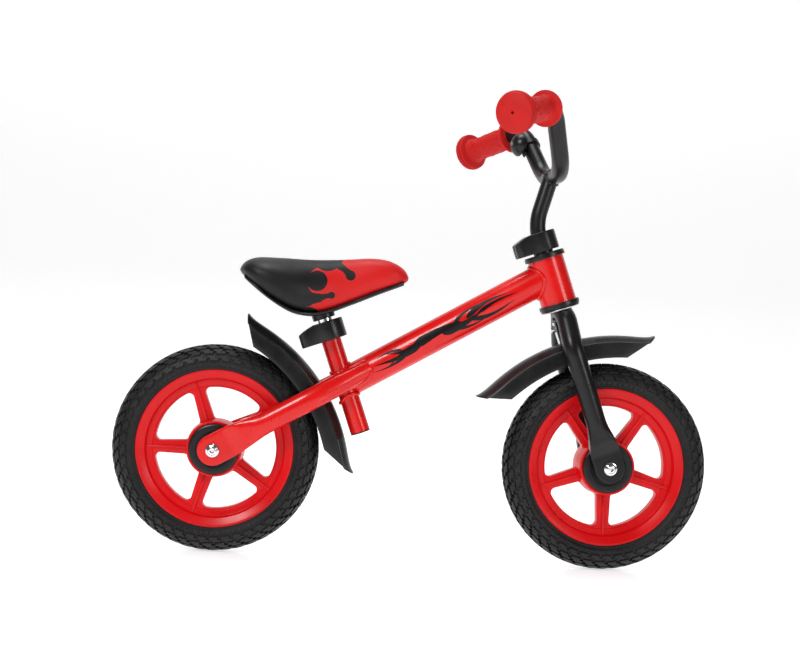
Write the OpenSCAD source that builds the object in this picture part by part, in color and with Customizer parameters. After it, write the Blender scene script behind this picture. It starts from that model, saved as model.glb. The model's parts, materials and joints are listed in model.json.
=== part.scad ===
// Balance bike for a small child: twelve-inch foam tyres on five-spoke wheels, a single
// main tube, a unicrown fork, a raised handlebar, a padded saddle and two mudguards.
// The origin is on the floor midway between the axles. +X is forward, +Y is left, +Z is up.

/* [Wheels] */
// Distance between the two axles
wheelbase = 547; // [540:1:555]
// Outside diameter of a tyre
wheel_d = 290; // [288:1:292]
// Width of a tyre
tyre_w = 50; // [46:1:52]
// Radius where the tyre meets the rim's lip
rim_r = 110; // [108:1:112]
// Number of spokes
spokes = 5; // [4:1:6]
// Angle of the rear wheel's first spoke
rear_spoke_angle = -37; // [-72:1:72]
// Angle of the front wheel's first spoke
front_spoke_angle = -55; // [-72:1:72]

/* [Frame] */
// Lean of the head tube from the vertical
head_lean = 20; // [18:1:22]
// Outside diameter of the head tube
head_d = 51; // [50:1:52]
// Length of the head tube
head_h = 65; // [62:1:66]
// Outside diameter of the main tube
main_d = 44; // [42:1:45]
// Rise of the main tube from the horizontal
main_slope = 30.7; // [30:0.1:31.5]
// Outside diameter of the seat tube
seat_tube_d = 28; // [27.6:0.1:28.4]
// Lean of the seat tube from the vertical
seat_lean = 20.5; // [20:0.1:21]
// Outside diameter of a rear stay
stay_d = 29; // [28:0.5:29.5]
// Rise of the rear stays from the horizontal
stay_slope = 30.3; // [30:0.1:30.6]
// Distance of a rear stay from the middle plane
stay_y = 44.5; // [44:0.5:46]

/* [Fork and handlebar] */
// Angle that the steering is turned to the left
steer_rest = 4; // [-30:1:30]
// Outside diameter of the steerer tube
steerer_d = 28; // [27.8:0.1:28]
// Outside diameter of a fork blade
blade_d = 28; // [26:0.5:28]
// Distance of a fork blade from the middle plane
blade_y = 43.5; // [43:0.5:45]
// How far the blades stand behind the steering axis
blade_back = 7.3; // [5:0.1:8]
// Outside diameter of the stem and of the seat post
post_d = 22.2; // [22:0.1:22.2]
// Outside diameter of the handlebar
bar_d = 24; // [22.2:0.1:24.4]
// Length of a grip from flange to flange
grip_len = 88; // [84:1:92]

/* [Seat] */
// Length of the saddle
saddle_len = 242; // [236:1:246]
// Width of the saddle at the back
saddle_w = 128; // [120:1:132]
// Width of the saddle at the nose
nose_w = 62; // [56:1:66]

/* [Hidden] */
$fn = 96;

wheel_r = wheel_d / 2;
rear_axle = [-wheelbase / 2, 0, wheel_r];
front_axle = [wheelbase / 2, 0, wheel_r];
fit = 0.08;                 // radial clearance of a running fit
gap = 0.3;                  // space between faces that move past each other

// Head tube: its lower end's centre, and heights along it
head_at = [198, 0, 373];
head_low = -1;
head_top = head_low + head_h;
cup_d = 58;
cup_h = 7.5;
spigot_h = 14;
head_wall = 2.5;
washer_h = 2.2;
washer_d = 56;

// Seat tube: the point on its axis that its heights are counted from
seat_at = [-118.7, 0, 302];
seat_tube_low = -133;
seat_tube_top = 26;
foot_len = 41;
foot_groove_w = 1.5;
foot_groove_r = 13.6;
tube_wall = 1.6;
seat_bore_r = post_d / 2 + fit;
plug_h = 2;
plug_depth = 12;

// Main tube: where its axis crosses the plane above the origin
main_z = 301.4;
main_wall = 1.6;
main_back = 108;
main_front = 214;

// Stays and dropouts
dropout_w = 43;
dropout_t = 4;
dropout_flat = 32;          // from the axle to the fold
dropout_flare = 40;         // length of the flattened taper
stay_bend = 160;            // from the axle to the inward bend
stay_end = 226;             // from the axle to the front end
stay_in = 21;               // distance of the front end from the middle plane

// Axles and hubs
axle_d = 10;
bolt_head_d = 18.6;
bolt_head_h = 4;
hex_d = 8;
hex_h = 2;
hub_half = 26;
bearing_d = 26;
bearing_w = 8;
sleeve_d = 15;
spacer_d = 16;
cap_d = 70;
cap_t = 4.3;

// Rim section
lip_half = 20.7;
lip_in_r = 97;
window_r = 85;
hub_r = 40;
web_half = 9;
spoke_half = 8;
rim_wall = 3.2;
spoke_hub_w = 20;
spoke_rim_w = 16.5;
rib_w = 4;
rib_half = 11;

// Mudguards: the arc's centre, its crown radius and half its sweep
fender_r = 254;
fender_t = 2.2;
fender_sweep = 31;
fender_half = 28.5;
roof_half = 9;
ridge_half = 26;
ridge_drop = 10;
skirt_drop = 30;
rear_fender_at = [-337.2, 0, 96];
rear_fender_mid = 36;
front_fender_at = [292, 0, 76.4];
front_fender_mid = 111;
fender_screw_r = 2.5;

// Clamps, in a frame whose Z runs along the clamped tube
clamp_h = 27;
clamp_r = 24;
slot_w = 3;
ear_end = -40;
ear_half = 8.5;
cam_at = [-31, -20];
cam_r = 10;
pin_r = 2.5;
pin_fit = 0.06;
eye_r = 6;
eye_low = 9.5;
eye_h = 8;
seat_clamp_low = 2;
stem_clamp_low = 74.5;

// Fork
steerer_low = -48;
steerer_top = 88;
crown_bolt_s = -34.7;
blade_wall = 1.5;
blade_shoulder = -64;       // height where the blades run straight
blade_low = -168;           // height where the blades start to flatten

// Stem and handlebar
stem_low = 16;
stem_bend_s = 90;
stem_bend_r = 70;
stem_lean = 15.5;           // forward lean above the bend
stem_rise = 74;             // from the stem's corner to the handlebar
bar_corner = [182.5, 58, 549];
bar_shoulder = [156.3, 119.2, 627.5];
grip_in = [141, 140.2, 621.9];
grip_out = [90.1, 210, 603.3];
bar_bend_r = 60;
shoulder_r = 38;
bar_wall = 1.6;
grip_r = 15.5;
flange_r = 24.3;
flange_t = 4;
knob_r = 27.5;
knob_t = 11;

// Saddle heights along the seat tube's axis and its pieces
post_low = -100;
post_top = 50;
bracket_t = 3;
base_t = 4;
saddle_tail = -254;

function unit(v) = v / norm(v);

// A frame along a leaning tube: Z up the tube, X forward and square to it
module along(at, lean) translate(at) rotate([0, -lean, 0]) children();

module in_head() along(head_at, head_lean) children();

module in_seat() along(seat_at, seat_lean) children();

// Turns straight-ahead pieces to the steering angle at rest
module steered()
    in_head() rotate([0, 0, steer_rest]) rotate([0, head_lean, 0]) translate(-head_at)
        children();

module tube(d, wall, h) difference() {
    cylinder(d = d, h = h);
    translate([0, 0, -1]) cylinder(d = d - 2 * wall, h = h + 2);
}

// A round rod along a list of corners, with a bend of the given radius at each inner one.
// A bend is a little thicker than the straight runs, and takes in their ends.
bend_over = 0.3;
module rod(p, bends, r) {
    last = len(p) - 1;
    d = [for (i = [0 : last - 1]) unit(p[i + 1] - p[i])];
    cut = [for (i = [0 : last])
        i == 0 || i == last ? 0 : bends[i - 1] * tan(acos(d[i - 1] * d[i]) / 2)];
    for (i = [0 : last - 1]) {
        start = p[i] + d[i] * cut[i];
        run = norm(p[i + 1] - p[i]) - cut[i] - cut[i + 1];
        turn = [0, acos(d[i].z), atan2(d[i].y, d[i].x)];
        translate(start) rotate(turn) cylinder(r = r, h = run);
    }
    for (i = [1 : max(last - 1, 1)]) if (last > 1) {
        in = d[i - 1];
        out = d[i];
        m = unit(out - (in * out) * in);
        n = cross(in, m);
        c = p[i] - in * cut[i] + m * bends[i - 1];
        lap = 60 / bends[i - 1];
        multmatrix([[-m.x, in.x, n.x, c.x], [-m.y, in.y, n.y, c.y], [-m.z, in.z, n.z, c.z]])
            rotate([0, 0, -lap]) rotate_extrude(angle = acos(in * out) + 2 * lap)
                translate([bends[i - 1], 0]) circle(r + bend_over);
    }
}

// ---- frame ----

module main_solid(d, over = 0)
    translate([0, 0, main_z]) rotate([0, 90 - main_slope, 0])
        translate([0, 0, -main_back - over])
            cylinder(d = d, h = main_back + main_front + 2 * over);

module seat_tube_solid(d, over = 0)
    in_seat() translate([0, 0, seat_tube_low - over])
        cylinder(d = d, h = seat_tube_top - seat_tube_low + 2 * over);

module main_tube() color([0.80, 0.06, 0.06]) difference() {
    main_solid(main_d);
    main_solid(main_d - 2 * main_wall, 1);
    in_head() translate([0, 0, -40]) cylinder(d = head_d, h = 150);
    seat_tube_solid(seat_tube_d, 20);
}

module head_tube() color([0.80, 0.06, 0.06])
    in_head() translate([0, 0, head_low]) tube(head_d, head_wall, head_h);

module seat_tube() color([0.80, 0.06, 0.06]) difference() {
    seat_tube_solid(seat_tube_d);
    in_seat() translate([0, 0, seat_tube_low - 1]) cylinder(r = seat_bore_r, h = 200);
    in_seat() translate([-20, -slot_w / 2, seat_tube_top - 22]) cube([20, slot_w, 30]);
    in_seat() translate([0, 0, seat_tube_low + foot_len]) difference() {
        cylinder(d = seat_tube_d + 2, h = foot_groove_w);
        translate([0, 0, -1]) cylinder(r = foot_groove_r, h = foot_groove_w + 2);
    }
}

module seat_tube_plug() color([0.05, 0.05, 0.05])
    in_seat() translate([0, 0, seat_tube_low - plug_h]) {
        cylinder(d = seat_tube_d - 0.4, h = plug_h);
        cylinder(r = seat_bore_r, h = plug_h + plug_depth);
    }

// A flattened tube end: a round-ended plate about the axle, and the taper up to the tube.
// X runs from the axle along the tube.
module dropout(tube_d, width) {
    rotate([90, 0, 0]) translate([0, 0, -dropout_t / 2]) linear_extrude(dropout_t) {
        circle(d = width);
        translate([0, -width / 2]) square([dropout_flat, width]);
    }
    thick = tube_d / 2 + 1;
    intersection() {
        translate([dropout_flat - 1, 0, 0]) rotate([0, 90, 0])
            cylinder(d1 = width + 1, d2 = tube_d + 2 * bend_over, h = dropout_flare + 2);
        translate([dropout_flat, 0, -width]) linear_extrude(2 * width)
            polygon([[-1, -dropout_t / 2], [0, -dropout_t / 2], [dropout_flare - 2, -thick],
                [dropout_flare + 5, -thick], [dropout_flare + 5, thick],
                [dropout_flare - 2, thick], [0, dropout_t / 2], [-1, dropout_t / 2]]);
    }
}

module stay_path(r, start, end) {
    bend_at = [stay_bend, 0, 0];
    tip = [stay_end, stay_in - stay_y, 0];
    rod([[start, 0, 0], bend_at, bend_at + (tip - bend_at) * end], [80], r);
}

module left_stay() color([0.80, 0.06, 0.06]) difference() {
    translate([rear_axle.x, stay_y, rear_axle.z]) rotate([0, -stay_slope, 0]) {
        dropout(stay_d, dropout_w);
        difference() {
            stay_path(stay_d / 2, dropout_flat + dropout_flare, 1);
            stay_path(stay_d / 2 - tube_wall, dropout_flat + dropout_flare + 3, 0.96);
        }
    }
    main_solid(main_d, 10);
    seat_tube_solid(seat_tube_d, 10);
    axle_hole(rear_axle);
}

module right_stay() mirror([0, 1, 0]) left_stay();

module axle_hole(at)
    translate(at + [0, 80, 0]) rotate([90, 0, 0]) cylinder(d = axle_d + 0.4, h = 160);

module headset_cup() difference() {
    union() {
        cylinder(d = cup_d, h = cup_h);
        cylinder(d = head_d - 2 * head_wall, h = cup_h + spigot_h);
    }
    translate([0, 0, -1]) cylinder(d = steerer_d + 2 * fit, h = 60);
}

module upper_headset_cup() color([0.06, 0.06, 0.06])
    in_head() translate([0, 0, head_top + cup_h]) mirror([0, 0, 1]) headset_cup();

module lower_headset_cup() color([0.06, 0.06, 0.06])
    in_head() translate([0, 0, head_low - cup_h]) headset_cup();

// ---- axles ----

// A bolt with a flanged round head and a hexagon socket; its shank runs along +Z
module axle_bolt(half) {
    difference() {
        union() {
            translate([0, 0, -half - bolt_head_h]) cylinder(d = bolt_head_d, h = 2);
            translate([0, 0, -half - bolt_head_h]) cylinder(d = 14, h = bolt_head_h);
            translate([0, 0, -half - 2]) cylinder(d = bolt_head_d, h = 2);
        }
        translate([0, 0, -half - bolt_head_h - 1]) cylinder(d = hex_d, h = hex_h + 1, $fn = 6);
    }
    translate([0, 0, -half]) cylinder(d = axle_d, h = 2 * half + 3.5);
}

module axle_nut(half) difference() {
    union() {
        translate([0, 0, half]) cylinder(d = bolt_head_d, h = 2);
        translate([0, 0, half]) cylinder(d = 15, h = 6);
    }
    translate([0, 0, half - 1]) cylinder(d = axle_d, h = 5);
}

module axle_spacers(half) both_ends(hub_half - 1 + gap)
    difference() {
        cylinder(d = spacer_d, h = half - dropout_t - hub_half + 1 - gap);
        translate([0, 0, -1]) cylinder(d = axle_d + 0.2, h = 40);
    }

// Two copies that face away from each other along Z, each starting at the given height
module both_ends(z) for (side = [0, 1]) mirror([0, 0, side]) translate([0, 0, z]) children();

// Places an axle set: its -Z end faces right
module across(at) translate(at) rotate([-90, 0, 0]) children();

rear_half = stay_y + dropout_t / 2;
front_half = blade_y + dropout_t / 2;

module rear_axle_bolt() color([0.8, 0.8, 0.82]) across(rear_axle) axle_bolt(rear_half);
module rear_axle_nut() color([0.8, 0.8, 0.82]) across(rear_axle) axle_nut(rear_half);
module rear_axle_spacers() color([0.7, 0.7, 0.72]) across(rear_axle) axle_spacers(rear_half);
module front_axle_bolt() color([0.8, 0.8, 0.82])
    steered() across(front_axle) axle_bolt(front_half);
module front_axle_nut() color([0.8, 0.8, 0.82])
    steered() across(front_axle) axle_nut(front_half);
module front_axle_spacers() color([0.7, 0.7, 0.72])
    steered() across(front_axle) axle_spacers(front_half);

// ---- wheels, about their own axis Z ----

module tyre() {
    half = tyre_w / 2;
    tread_half = 12;
    shoulder_r = wheel_r - 11;
    side_r = wheel_r - 24;
    rotate_extrude() polygon([[rim_r + 0.1, -lip_half], [side_r, -half], [shoulder_r, -half + 3],
        [wheel_r - 2, -tread_half - 5], [wheel_r, -tread_half], [wheel_r, tread_half],
        [wheel_r - 2, tread_half + 5], [shoulder_r, half - 3], [side_r, half],
        [rim_r + 0.1, lip_half]]);
}

module rim_ring() rotate_extrude() difference() {
    channel = lip_half - rim_wall;
    polygon([[window_r, -web_half], [lip_in_r, -lip_half], [rim_r, -lip_half],
        [rim_r, lip_half], [lip_in_r, lip_half], [window_r, web_half]]);
    polygon([[window_r + 4, -web_half + rim_wall], [lip_in_r + 2, -channel],
        [rim_r + 1, -channel], [rim_r + 1, channel], [lip_in_r + 2, channel],
        [window_r + 4, web_half - rim_wall]]);
}

// The spokes: tapered webs with a rib down the middle, between the hub and the ring
module rim_spokes(angle) difference() {
    intersection() {
        for (i = [0 : spokes - 1]) rotate([0, 0, angle + 360 / spokes * i]) {
            translate([0, 0, -spoke_half]) linear_extrude(2 * spoke_half)
                polygon([[hub_r - 6, -spoke_hub_w / 2], [window_r + 3, -spoke_rim_w / 2],
                    [window_r + 3, spoke_rim_w / 2], [hub_r - 6, spoke_hub_w / 2]]);
            translate([hub_r - 5, -rib_w / 2, -rib_half])
                cube([window_r - hub_r + 8, rib_w, 2 * rib_half]);
        }
        translate([0, 0, -hub_half]) cylinder(r = window_r, h = 2 * hub_half);
    }
    translate([0, 0, -hub_half]) cylinder(r = hub_r, h = 2 * hub_half);
}

module rim_hub() difference() {
    translate([0, 0, -hub_half]) cylinder(r = hub_r, h = 2 * hub_half);
    translate([0, 0, -hub_half - 1]) cylinder(d = bearing_d - 4, h = 2 * hub_half + 2);
    both_ends(hub_half - 1 - bearing_w) cylinder(d = bearing_d, h = 20);
}

module hub_caps() both_ends(hub_half) difference() {
    cylinder(d = cap_d, h = cap_t);
    translate([0, 0, -1]) cylinder(d = spacer_d + 2, h = 10);
}

module bearings() both_ends(hub_half - 1 - bearing_w) difference() {
    cylinder(d = bearing_d, h = bearing_w);
    translate([0, 0, -1]) cylinder(d = axle_d + 2 * fit, h = 10);
}

module hub_sleeve() difference() {
    cylinder(d = sleeve_d, h = 2 * (hub_half - 1 - bearing_w), center = true);
    cylinder(d = axle_d + 2 * fit, h = 60, center = true);
}

module rear_tyre() color([0.16, 0.16, 0.17]) across(rear_axle) tyre();
module rear_rim() color([0.80, 0.03, 0.08]) across(rear_axle) rim_ring();
module rear_spokes() color([0.80, 0.03, 0.08]) across(rear_axle) rim_spokes(rear_spoke_angle);
module rear_hub() color([0.80, 0.03, 0.08]) across(rear_axle) rim_hub();
module rear_hub_caps() color([0.04, 0.04, 0.04]) across(rear_axle) hub_caps();
module rear_bearings() color([0.7, 0.7, 0.72]) across(rear_axle) bearings();
module rear_hub_sleeve() color([0.7, 0.7, 0.72]) across(rear_axle) hub_sleeve();
module front_tyre() color([0.16, 0.16, 0.17]) steered() across(front_axle) tyre();
module front_rim() color([0.80, 0.03, 0.08]) steered() across(front_axle) rim_ring();
module front_spokes() color([0.80, 0.03, 0.08])
    steered() across(front_axle) rim_spokes(front_spoke_angle);
module front_hub() color([0.80, 0.03, 0.08]) steered() across(front_axle) rim_hub();
module front_hub_caps() color([0.04, 0.04, 0.04]) steered() across(front_axle) hub_caps();
module front_bearings() color([0.7, 0.7, 0.72]) steered() across(front_axle) bearings();
module front_hub_sleeve() color([0.7, 0.7, 0.72]) steered() across(front_axle) hub_sleeve();

// ---- mudguards ----

// A crowned channel swept about its arc's centre
module fender(at, mid)
    translate(at) rotate([90, 0, 0]) rotate([0, 0, mid - fender_sweep])
        rotate_extrude(angle = 2 * fender_sweep) difference() {
            fender_section(0);
            fender_section(fender_t);
        }

module fender_section(in) {
    open = in > 0 ? 1 : 0;
    foot = fender_r - skirt_drop - open;
    top = fender_r - in;
    ridge = fender_r - ridge_drop - in;
    polygon([[foot, -fender_half + in], [ridge, -ridge_half + in * 0.9], [top, -roof_half],
        [top, roof_half], [ridge, ridge_half - in * 0.9], [foot, fender_half - in]]);
}

module fender_crown(at) translate(at) rotate([90, 0, 0]) cylinder(r = fender_r, h = 80, center = true);

module rear_fender() color([0.06, 0.06, 0.06]) difference() {
    fender(rear_fender_at, rear_fender_mid);
    rear_stud(fender_screw_r + 0.1, 60);
}

// The line that the rear mudguard hangs on, square to the seat tube
stud_s = -58;
module rear_stud(r, reach) in_seat() translate([0, 0, stud_s]) rotate([0, -90, 0])
    cylinder(r = r, h = reach);

module rear_fender_spacer() color([0.06, 0.06, 0.06]) difference() {
    rear_stud(8, 60);
    rear_stud(fender_screw_r + 0.1, 61);
    seat_tube_solid(seat_tube_d, 5);
    fender_crown(rear_fender_at);
}

module rear_fender_bolt() color([0.7, 0.7, 0.72]) difference() {
    union() {
        rear_stud(fender_screw_r, 46);
        in_seat() translate([-43, 0, stud_s]) rotate([0, -90, 0]) cylinder(r = 5, h = 3);
    }
    seat_tube_solid(seat_tube_d, 5);
}

module front_fender() color([0.06, 0.06, 0.06]) steered() difference() {
    fender(front_fender_at, front_fender_mid);
    in_head() translate([0, 0, -75]) cylinder(r = fender_screw_r + 0.1, h = 40);
}

foot_s = -57;
strap_t = 2;
module front_fender_bracket() color([0.75, 0.75, 0.78]) steered() in_head() difference() {
    union() {
        translate([-steerer_d / 2 - 0.2 - strap_t, -7, foot_s]) cube([strap_t, 14, 31]);
        translate([-steerer_d / 2 - 0.2 - strap_t, -7, foot_s]) cube([24, 14, strap_t]);
    }
    translate([0, 0, crown_bolt_s]) rotate([0, 90, 0])
        cylinder(r = 3.1, h = 60, center = true);
    translate([0, 0, foot_s - 1]) cylinder(r = 2.6, h = 10);
}

module front_fender_bolt() color([0.8, 0.8, 0.82]) steered() in_head()
    translate([0, 0, crown_bolt_s]) rotate([0, 90, 0]) {
        translate([0, 0, -22.5]) cylinder(r = 3, h = 36.7);
        translate([0, 0, 14.2]) cylinder(r = 5.5, h = 3);
    }

module front_fender_nut() color([0.8, 0.8, 0.82]) steered() in_head()
    translate([0, 0, crown_bolt_s]) rotate([0, 90, 0]) difference() {
        translate([0, 0, -21.5]) cylinder(r = 5.2, h = 5.2, $fn = 6);
        translate([0, 0, -30]) cylinder(r = 3, h = 30);
    }

module front_fender_screw() color([0.7, 0.7, 0.72]) steered() in_head() {
    translate([0, 0, foot_s - 9]) cylinder(r = fender_screw_r, h = 12);
    translate([0, 0, foot_s + strap_t]) cylinder(r = 4.5, h = 2.6);
}

// ---- clamps, each about the tube's axis with its foot at Z 0 ----

module clamp_collar() difference() {
    union() {
        cylinder(r = clamp_r, h = clamp_h);
        translate([ear_end, -ear_half, 0]) cube([-ear_end - 12, 2 * ear_half, clamp_h]);
    }
    translate([0, 0, -1]) cylinder(d = seat_tube_d + 0.2, h = clamp_h + 2);
    translate([-60, -slot_w / 2, -1]) cube([60, slot_w, clamp_h + 2]);
    translate([cam_at.x, 20, clamp_h / 2]) rotate([90, 0, 0]) cylinder(r = 2.6, h = 40);
    clamp_slope();
}

// Takes the back of the clamp's top down in a slope
module clamp_slope() translate([-20, -60, clamp_h]) rotate([0, -18, 0])
    translate([-60, 0, 0]) cube([60, 120, 30]);

module clamp_bolt() {
    translate([cam_at.x, ear_half + 4, clamp_h / 2]) rotate([90, 0, 0])
        cylinder(r = 2.5, h = ear_half + 4 - cam_at.y - pin_r);
    translate([cam_at.x, cam_at.y, eye_low]) difference() {
        cylinder(r = eye_r, h = eye_h);
        translate([0, 0, -1]) cylinder(r = pin_r, h = eye_h + 2);
    }
}

module clamp_nut() translate([cam_at.x, ear_half + 4, clamp_h / 2]) rotate([90, 0, 0])
    difference() {
        cylinder(r = 4.6, h = 4, $fn = 6);
        translate([0, 0, -1]) cylinder(r = 2.5, h = 6);
    }

module clamp_pin() translate([cam_at.x, cam_at.y, 2]) cylinder(r = pin_r, h = 19);

// The lever: two cheeks on the pin and a handle that wraps the collar's right side
module clamp_lever() difference() {
    linear_extrude(clamp_h) {
        translate(cam_at) circle(cam_r);
        difference() {
            intersection() {
                circle(clamp_r + 8);
                translate([-27, -40]) square([27, 40 - ear_half - 1.5]);
            }
            circle(clamp_r + 1);
        }
    }
    translate([cam_at.x, cam_at.y, -1]) cylinder(r = pin_r + pin_fit, h = clamp_h + 2);
    translate([cam_at.x, cam_at.y, eye_low - 0.5]) cylinder(r = cam_r + 1.5, h = eye_h + 1);
    clamp_slope();
}

module on_seat() in_seat() translate([0, 0, seat_clamp_low]) children();
module on_stem() in_head() rotate([0, 0, steer_rest]) translate([0, 0, stem_clamp_low]) children();

module seat_clamp_collar() color([0.09, 0.09, 0.09]) on_seat() clamp_collar();
module seat_clamp_bolt() color([0.7, 0.7, 0.72]) on_seat() clamp_bolt();
module seat_clamp_nut() color([0.7, 0.7, 0.72]) on_seat() clamp_nut();
module seat_clamp_pin() color([0.7, 0.7, 0.72]) on_seat() clamp_pin();
module seat_clamp_lever() color([0.09, 0.09, 0.09]) on_seat() clamp_lever();
module stem_clamp_collar() color([0.09, 0.09, 0.09]) on_stem() clamp_collar();
module stem_clamp_bolt() color([0.7, 0.7, 0.72]) on_stem() clamp_bolt();
module stem_clamp_nut() color([0.7, 0.7, 0.72]) on_stem() clamp_nut();
module stem_clamp_pin() color([0.7, 0.7, 0.72]) on_stem() clamp_pin();
module stem_clamp_lever() color([0.09, 0.09, 0.09]) on_stem() clamp_lever();

// ---- seat ----

module seat_post() color([0.85, 0.85, 0.87])
    in_seat() translate([0, 0, post_low]) tube(post_d, 1.8, post_top - post_low);

// The saddle from the side: the pad's outline, and the thin base under its belly
saddle_top = [[0, 392], [2, 403], [10, 412], [23, 416.5], [55, 414], [95, 411.3], [140, 414.5],
    [170, 420], [192, 422.5], [210, 421], [227, 413.5], [237, 404], [242, 393], [239, 386]];
saddle_belly = [[202, 371], [160, 351], [136, 341], [112, 334], [97, 333.5], [81, 337],
    [55, 351], [24, 371]];
function lifted(p, up) = [for (q = p) [q.x, q.y + up]];
function reversed(p) = [for (i = [len(p) - 1 : -1 : 0]) p[i]];

module saddle_side(outline) translate([saddle_tail, 0, 0]) rotate([90, 0, 0])
    linear_extrude(saddle_w + 20, center = true) polygon(outline);

module saddle_plan(grow) {
    tail_r = 46;
    tail_x = saddle_tail + tail_r;
    nose_x = saddle_tail + saddle_len - nose_w / 2;
    translate([0, 0, 300]) linear_extrude(150) {
        for (side = [-1, 1]) translate([tail_x, side * (saddle_w / 2 - tail_r)])
            circle(tail_r + grow);
        translate([nose_x, 0]) circle(nose_w / 2 + grow);
        polygon([[tail_x, -saddle_w / 2 - grow], [tail_x + 30, -saddle_w / 2 + 6 - grow],
            [nose_x, -nose_w / 2 - grow], [nose_x, nose_w / 2 + grow],
            [tail_x + 30, saddle_w / 2 - 6 + grow], [tail_x, saddle_w / 2 + grow]]);
    }
}

module saddle_socket(r) in_seat() translate([0, 0, 33]) cylinder(r = r, h = post_top - 30);

module saddle_pad() color([0.75, 0.12, 0.12]) difference() {
    intersection() {
        saddle_side(concat(saddle_top, lifted(saddle_belly, base_t)));
        saddle_plan(0);
    }
    saddle_tray();
    saddle_socket(17);
    bracket_room(0.5);
}

// The thin tray under the pad
module saddle_tray() intersection() {
    saddle_side(concat([[239, 386]], saddle_belly, [[3, 388], [3, 392]],
        reversed(lifted(saddle_belly, base_t)), [[239, 390]]));
    saddle_plan(-3);
}

module saddle_base() color([0.05, 0.05, 0.05]) difference() {
    union() {
        saddle_tray();
        intersection() {
            saddle_socket(16);
            saddle_side(concat(saddle_top, saddle_belly));
        }
    }
    in_seat() translate([0, 0, 20]) cylinder(r = post_d / 2, h = 100);
    bracket_room(0);
    screw_lines(2);
}

// The steel plate on the post's head, and the room that it takes
bracket_s = post_top - 12;
module bracket_room(grow) in_seat() translate([-28 - grow, -14 - grow, bracket_s])
    cube([56 + 2 * grow, 28 + 2 * grow, bracket_t + 12 + grow]);

module saddle_bracket() color([0.3, 0.3, 0.32]) difference() {
    in_seat() translate([-28, -14, bracket_s]) cube([56, 28, bracket_t]);
    in_seat() translate([0, 0, 20]) cylinder(r = post_d / 2, h = 100);
    screw_lines(2);
}

module screw_lines(r) in_seat() for (x = [-22, 22], y = [-8, 8])
    translate([x, y, bracket_s - 8]) cylinder(r = r, h = 11.1);

module saddle_screws() color([0.7, 0.7, 0.72]) {
    screw_lines(2);
    in_seat() for (x = [-22, 22], y = [-8, 8])
        translate([x, y, bracket_s + bracket_t]) cylinder(r = 3.6, h = 2.4);
}

// ---- fork ----

module steerer_tube() color([0.06, 0.06, 0.06]) steered() in_head() difference() {
    translate([0, 0, steerer_low]) cylinder(d = steerer_d, h = steerer_top - steerer_low);
    translate([0, 0, head_low - 15]) cylinder(r = post_d / 2 + fit, h = 150);
    translate([-20, -slot_w / 2, steerer_top - 18]) cube([20, slot_w, 30]);
    translate([0, 0, crown_bolt_s]) rotate([0, 90, 0])
        cylinder(r = 3.1, h = 60, center = true);
}

module crown_washer() color([0.8, 0.8, 0.82]) steered() in_head() difference() {
    translate([0, 0, head_low - cup_h - gap - washer_h]) cylinder(d = washer_d, h = washer_h);
    translate([0, 0, -30]) cylinder(d = steerer_d, h = 60);
}

module blade_path(r, low, top) {
    rod([[0, 4, top], [0, 21, -22], [-blade_back, blade_y, blade_shoulder],
        [-blade_back, blade_y, low]], [26, 40], r);
}

module left_blade() color([0.06, 0.06, 0.06]) steered() difference() {
    union() {
        in_head() difference() {
            blade_path(blade_d / 2, blade_low, -12);
            blade_path(blade_d / 2 - blade_wall, blade_low + 3, -14);
        }
        translate([front_axle.x, blade_y, front_axle.z]) rotate([0, -90 - head_lean, 0])
            dropout(blade_d, dropout_w - 1);
    }
    in_head() {
        translate([0, 0, -100]) cylinder(d = steerer_d, h = 200);
        translate([0, 0, head_low - cup_h - gap - washer_h]) cylinder(d = 80, h = 60);
        translate([-60, -80, -200]) cube([120, 80.5, 300]);
    }
    axle_hole(front_axle);
}

module right_blade() color([0.06, 0.06, 0.06]) in_head() rotate([0, 0, 2 * steer_rest])
    mirror([0, 1, 0]) rotate([0, head_lean, 0]) translate(-head_at) left_blade();

// ---- stem, handlebar and grips ----

module stem() color([0.06, 0.06, 0.06]) steered() difference() {
    stem_path(post_d / 2, 0);
    stem_path(post_d / 2 - 1.8, 1);
    translate([bar_corner.x, 0, bar_corner.z]) rotate([90, 0, 0])
        cylinder(d = bar_d, h = 60, center = true);
}

module stem_path(r, over) {
    up = [-sin(head_lean), 0, cos(head_lean)];
    lean = [sin(stem_lean), 0, cos(stem_lean)];
    corner = head_at + up * (stem_bend_s + stem_bend_r * tan((head_lean + stem_lean) / 2));
    rod([head_at + up * (stem_low - over), corner, corner + lean * stem_rise],
        [stem_bend_r], r);
}

// The bar turns outwards, rises, then turns back into the grips
module bar_path(r, over) {
    out = unit(grip_out - grip_in);
    tip = grip_out - out * (2 - over);
    half = [bar_corner, bar_shoulder, tip];
    other = [for (q = reversed(half)) [q.x, -q.y, q.z]];
    rod(concat(other, half), [shoulder_r, bar_bend_r, bar_bend_r, shoulder_r], r);
}

module handlebar() color([0.06, 0.06, 0.06]) steered() difference() {
    bar_path(bar_d / 2, 0);
    bar_path(bar_d / 2 - bar_wall, 1);
}

module grip() {
    core = bar_d / 2;
    rotate_extrude() polygon([[core, 0], [flange_r, 0], [flange_r, flange_t], [grip_r, flange_t + 3],
        [grip_r, grip_len - 12], [knob_r - 4, grip_len - 5], [knob_r, grip_len],
        [knob_r - 3, grip_len + 4], [14, grip_len + knob_t - 2], [2.5, grip_len + knob_t],
        [2.5, grip_len - 2], [core, grip_len - 2]]);
}

module on_bar_end(side) {
    way = unit(grip_out - grip_in);
    steered() mirror([0, side, 0]) translate(grip_in)
        rotate([0, acos(way.z), atan2(way.y, way.x)]) children();
}

module left_grip() color([0.80, 0.15, 0.15]) on_bar_end(0) grip();
module right_grip() color([0.80, 0.15, 0.15]) on_bar_end(1) grip();

// ---- bell, on the left upright of the handlebar just below its bend ----

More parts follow.
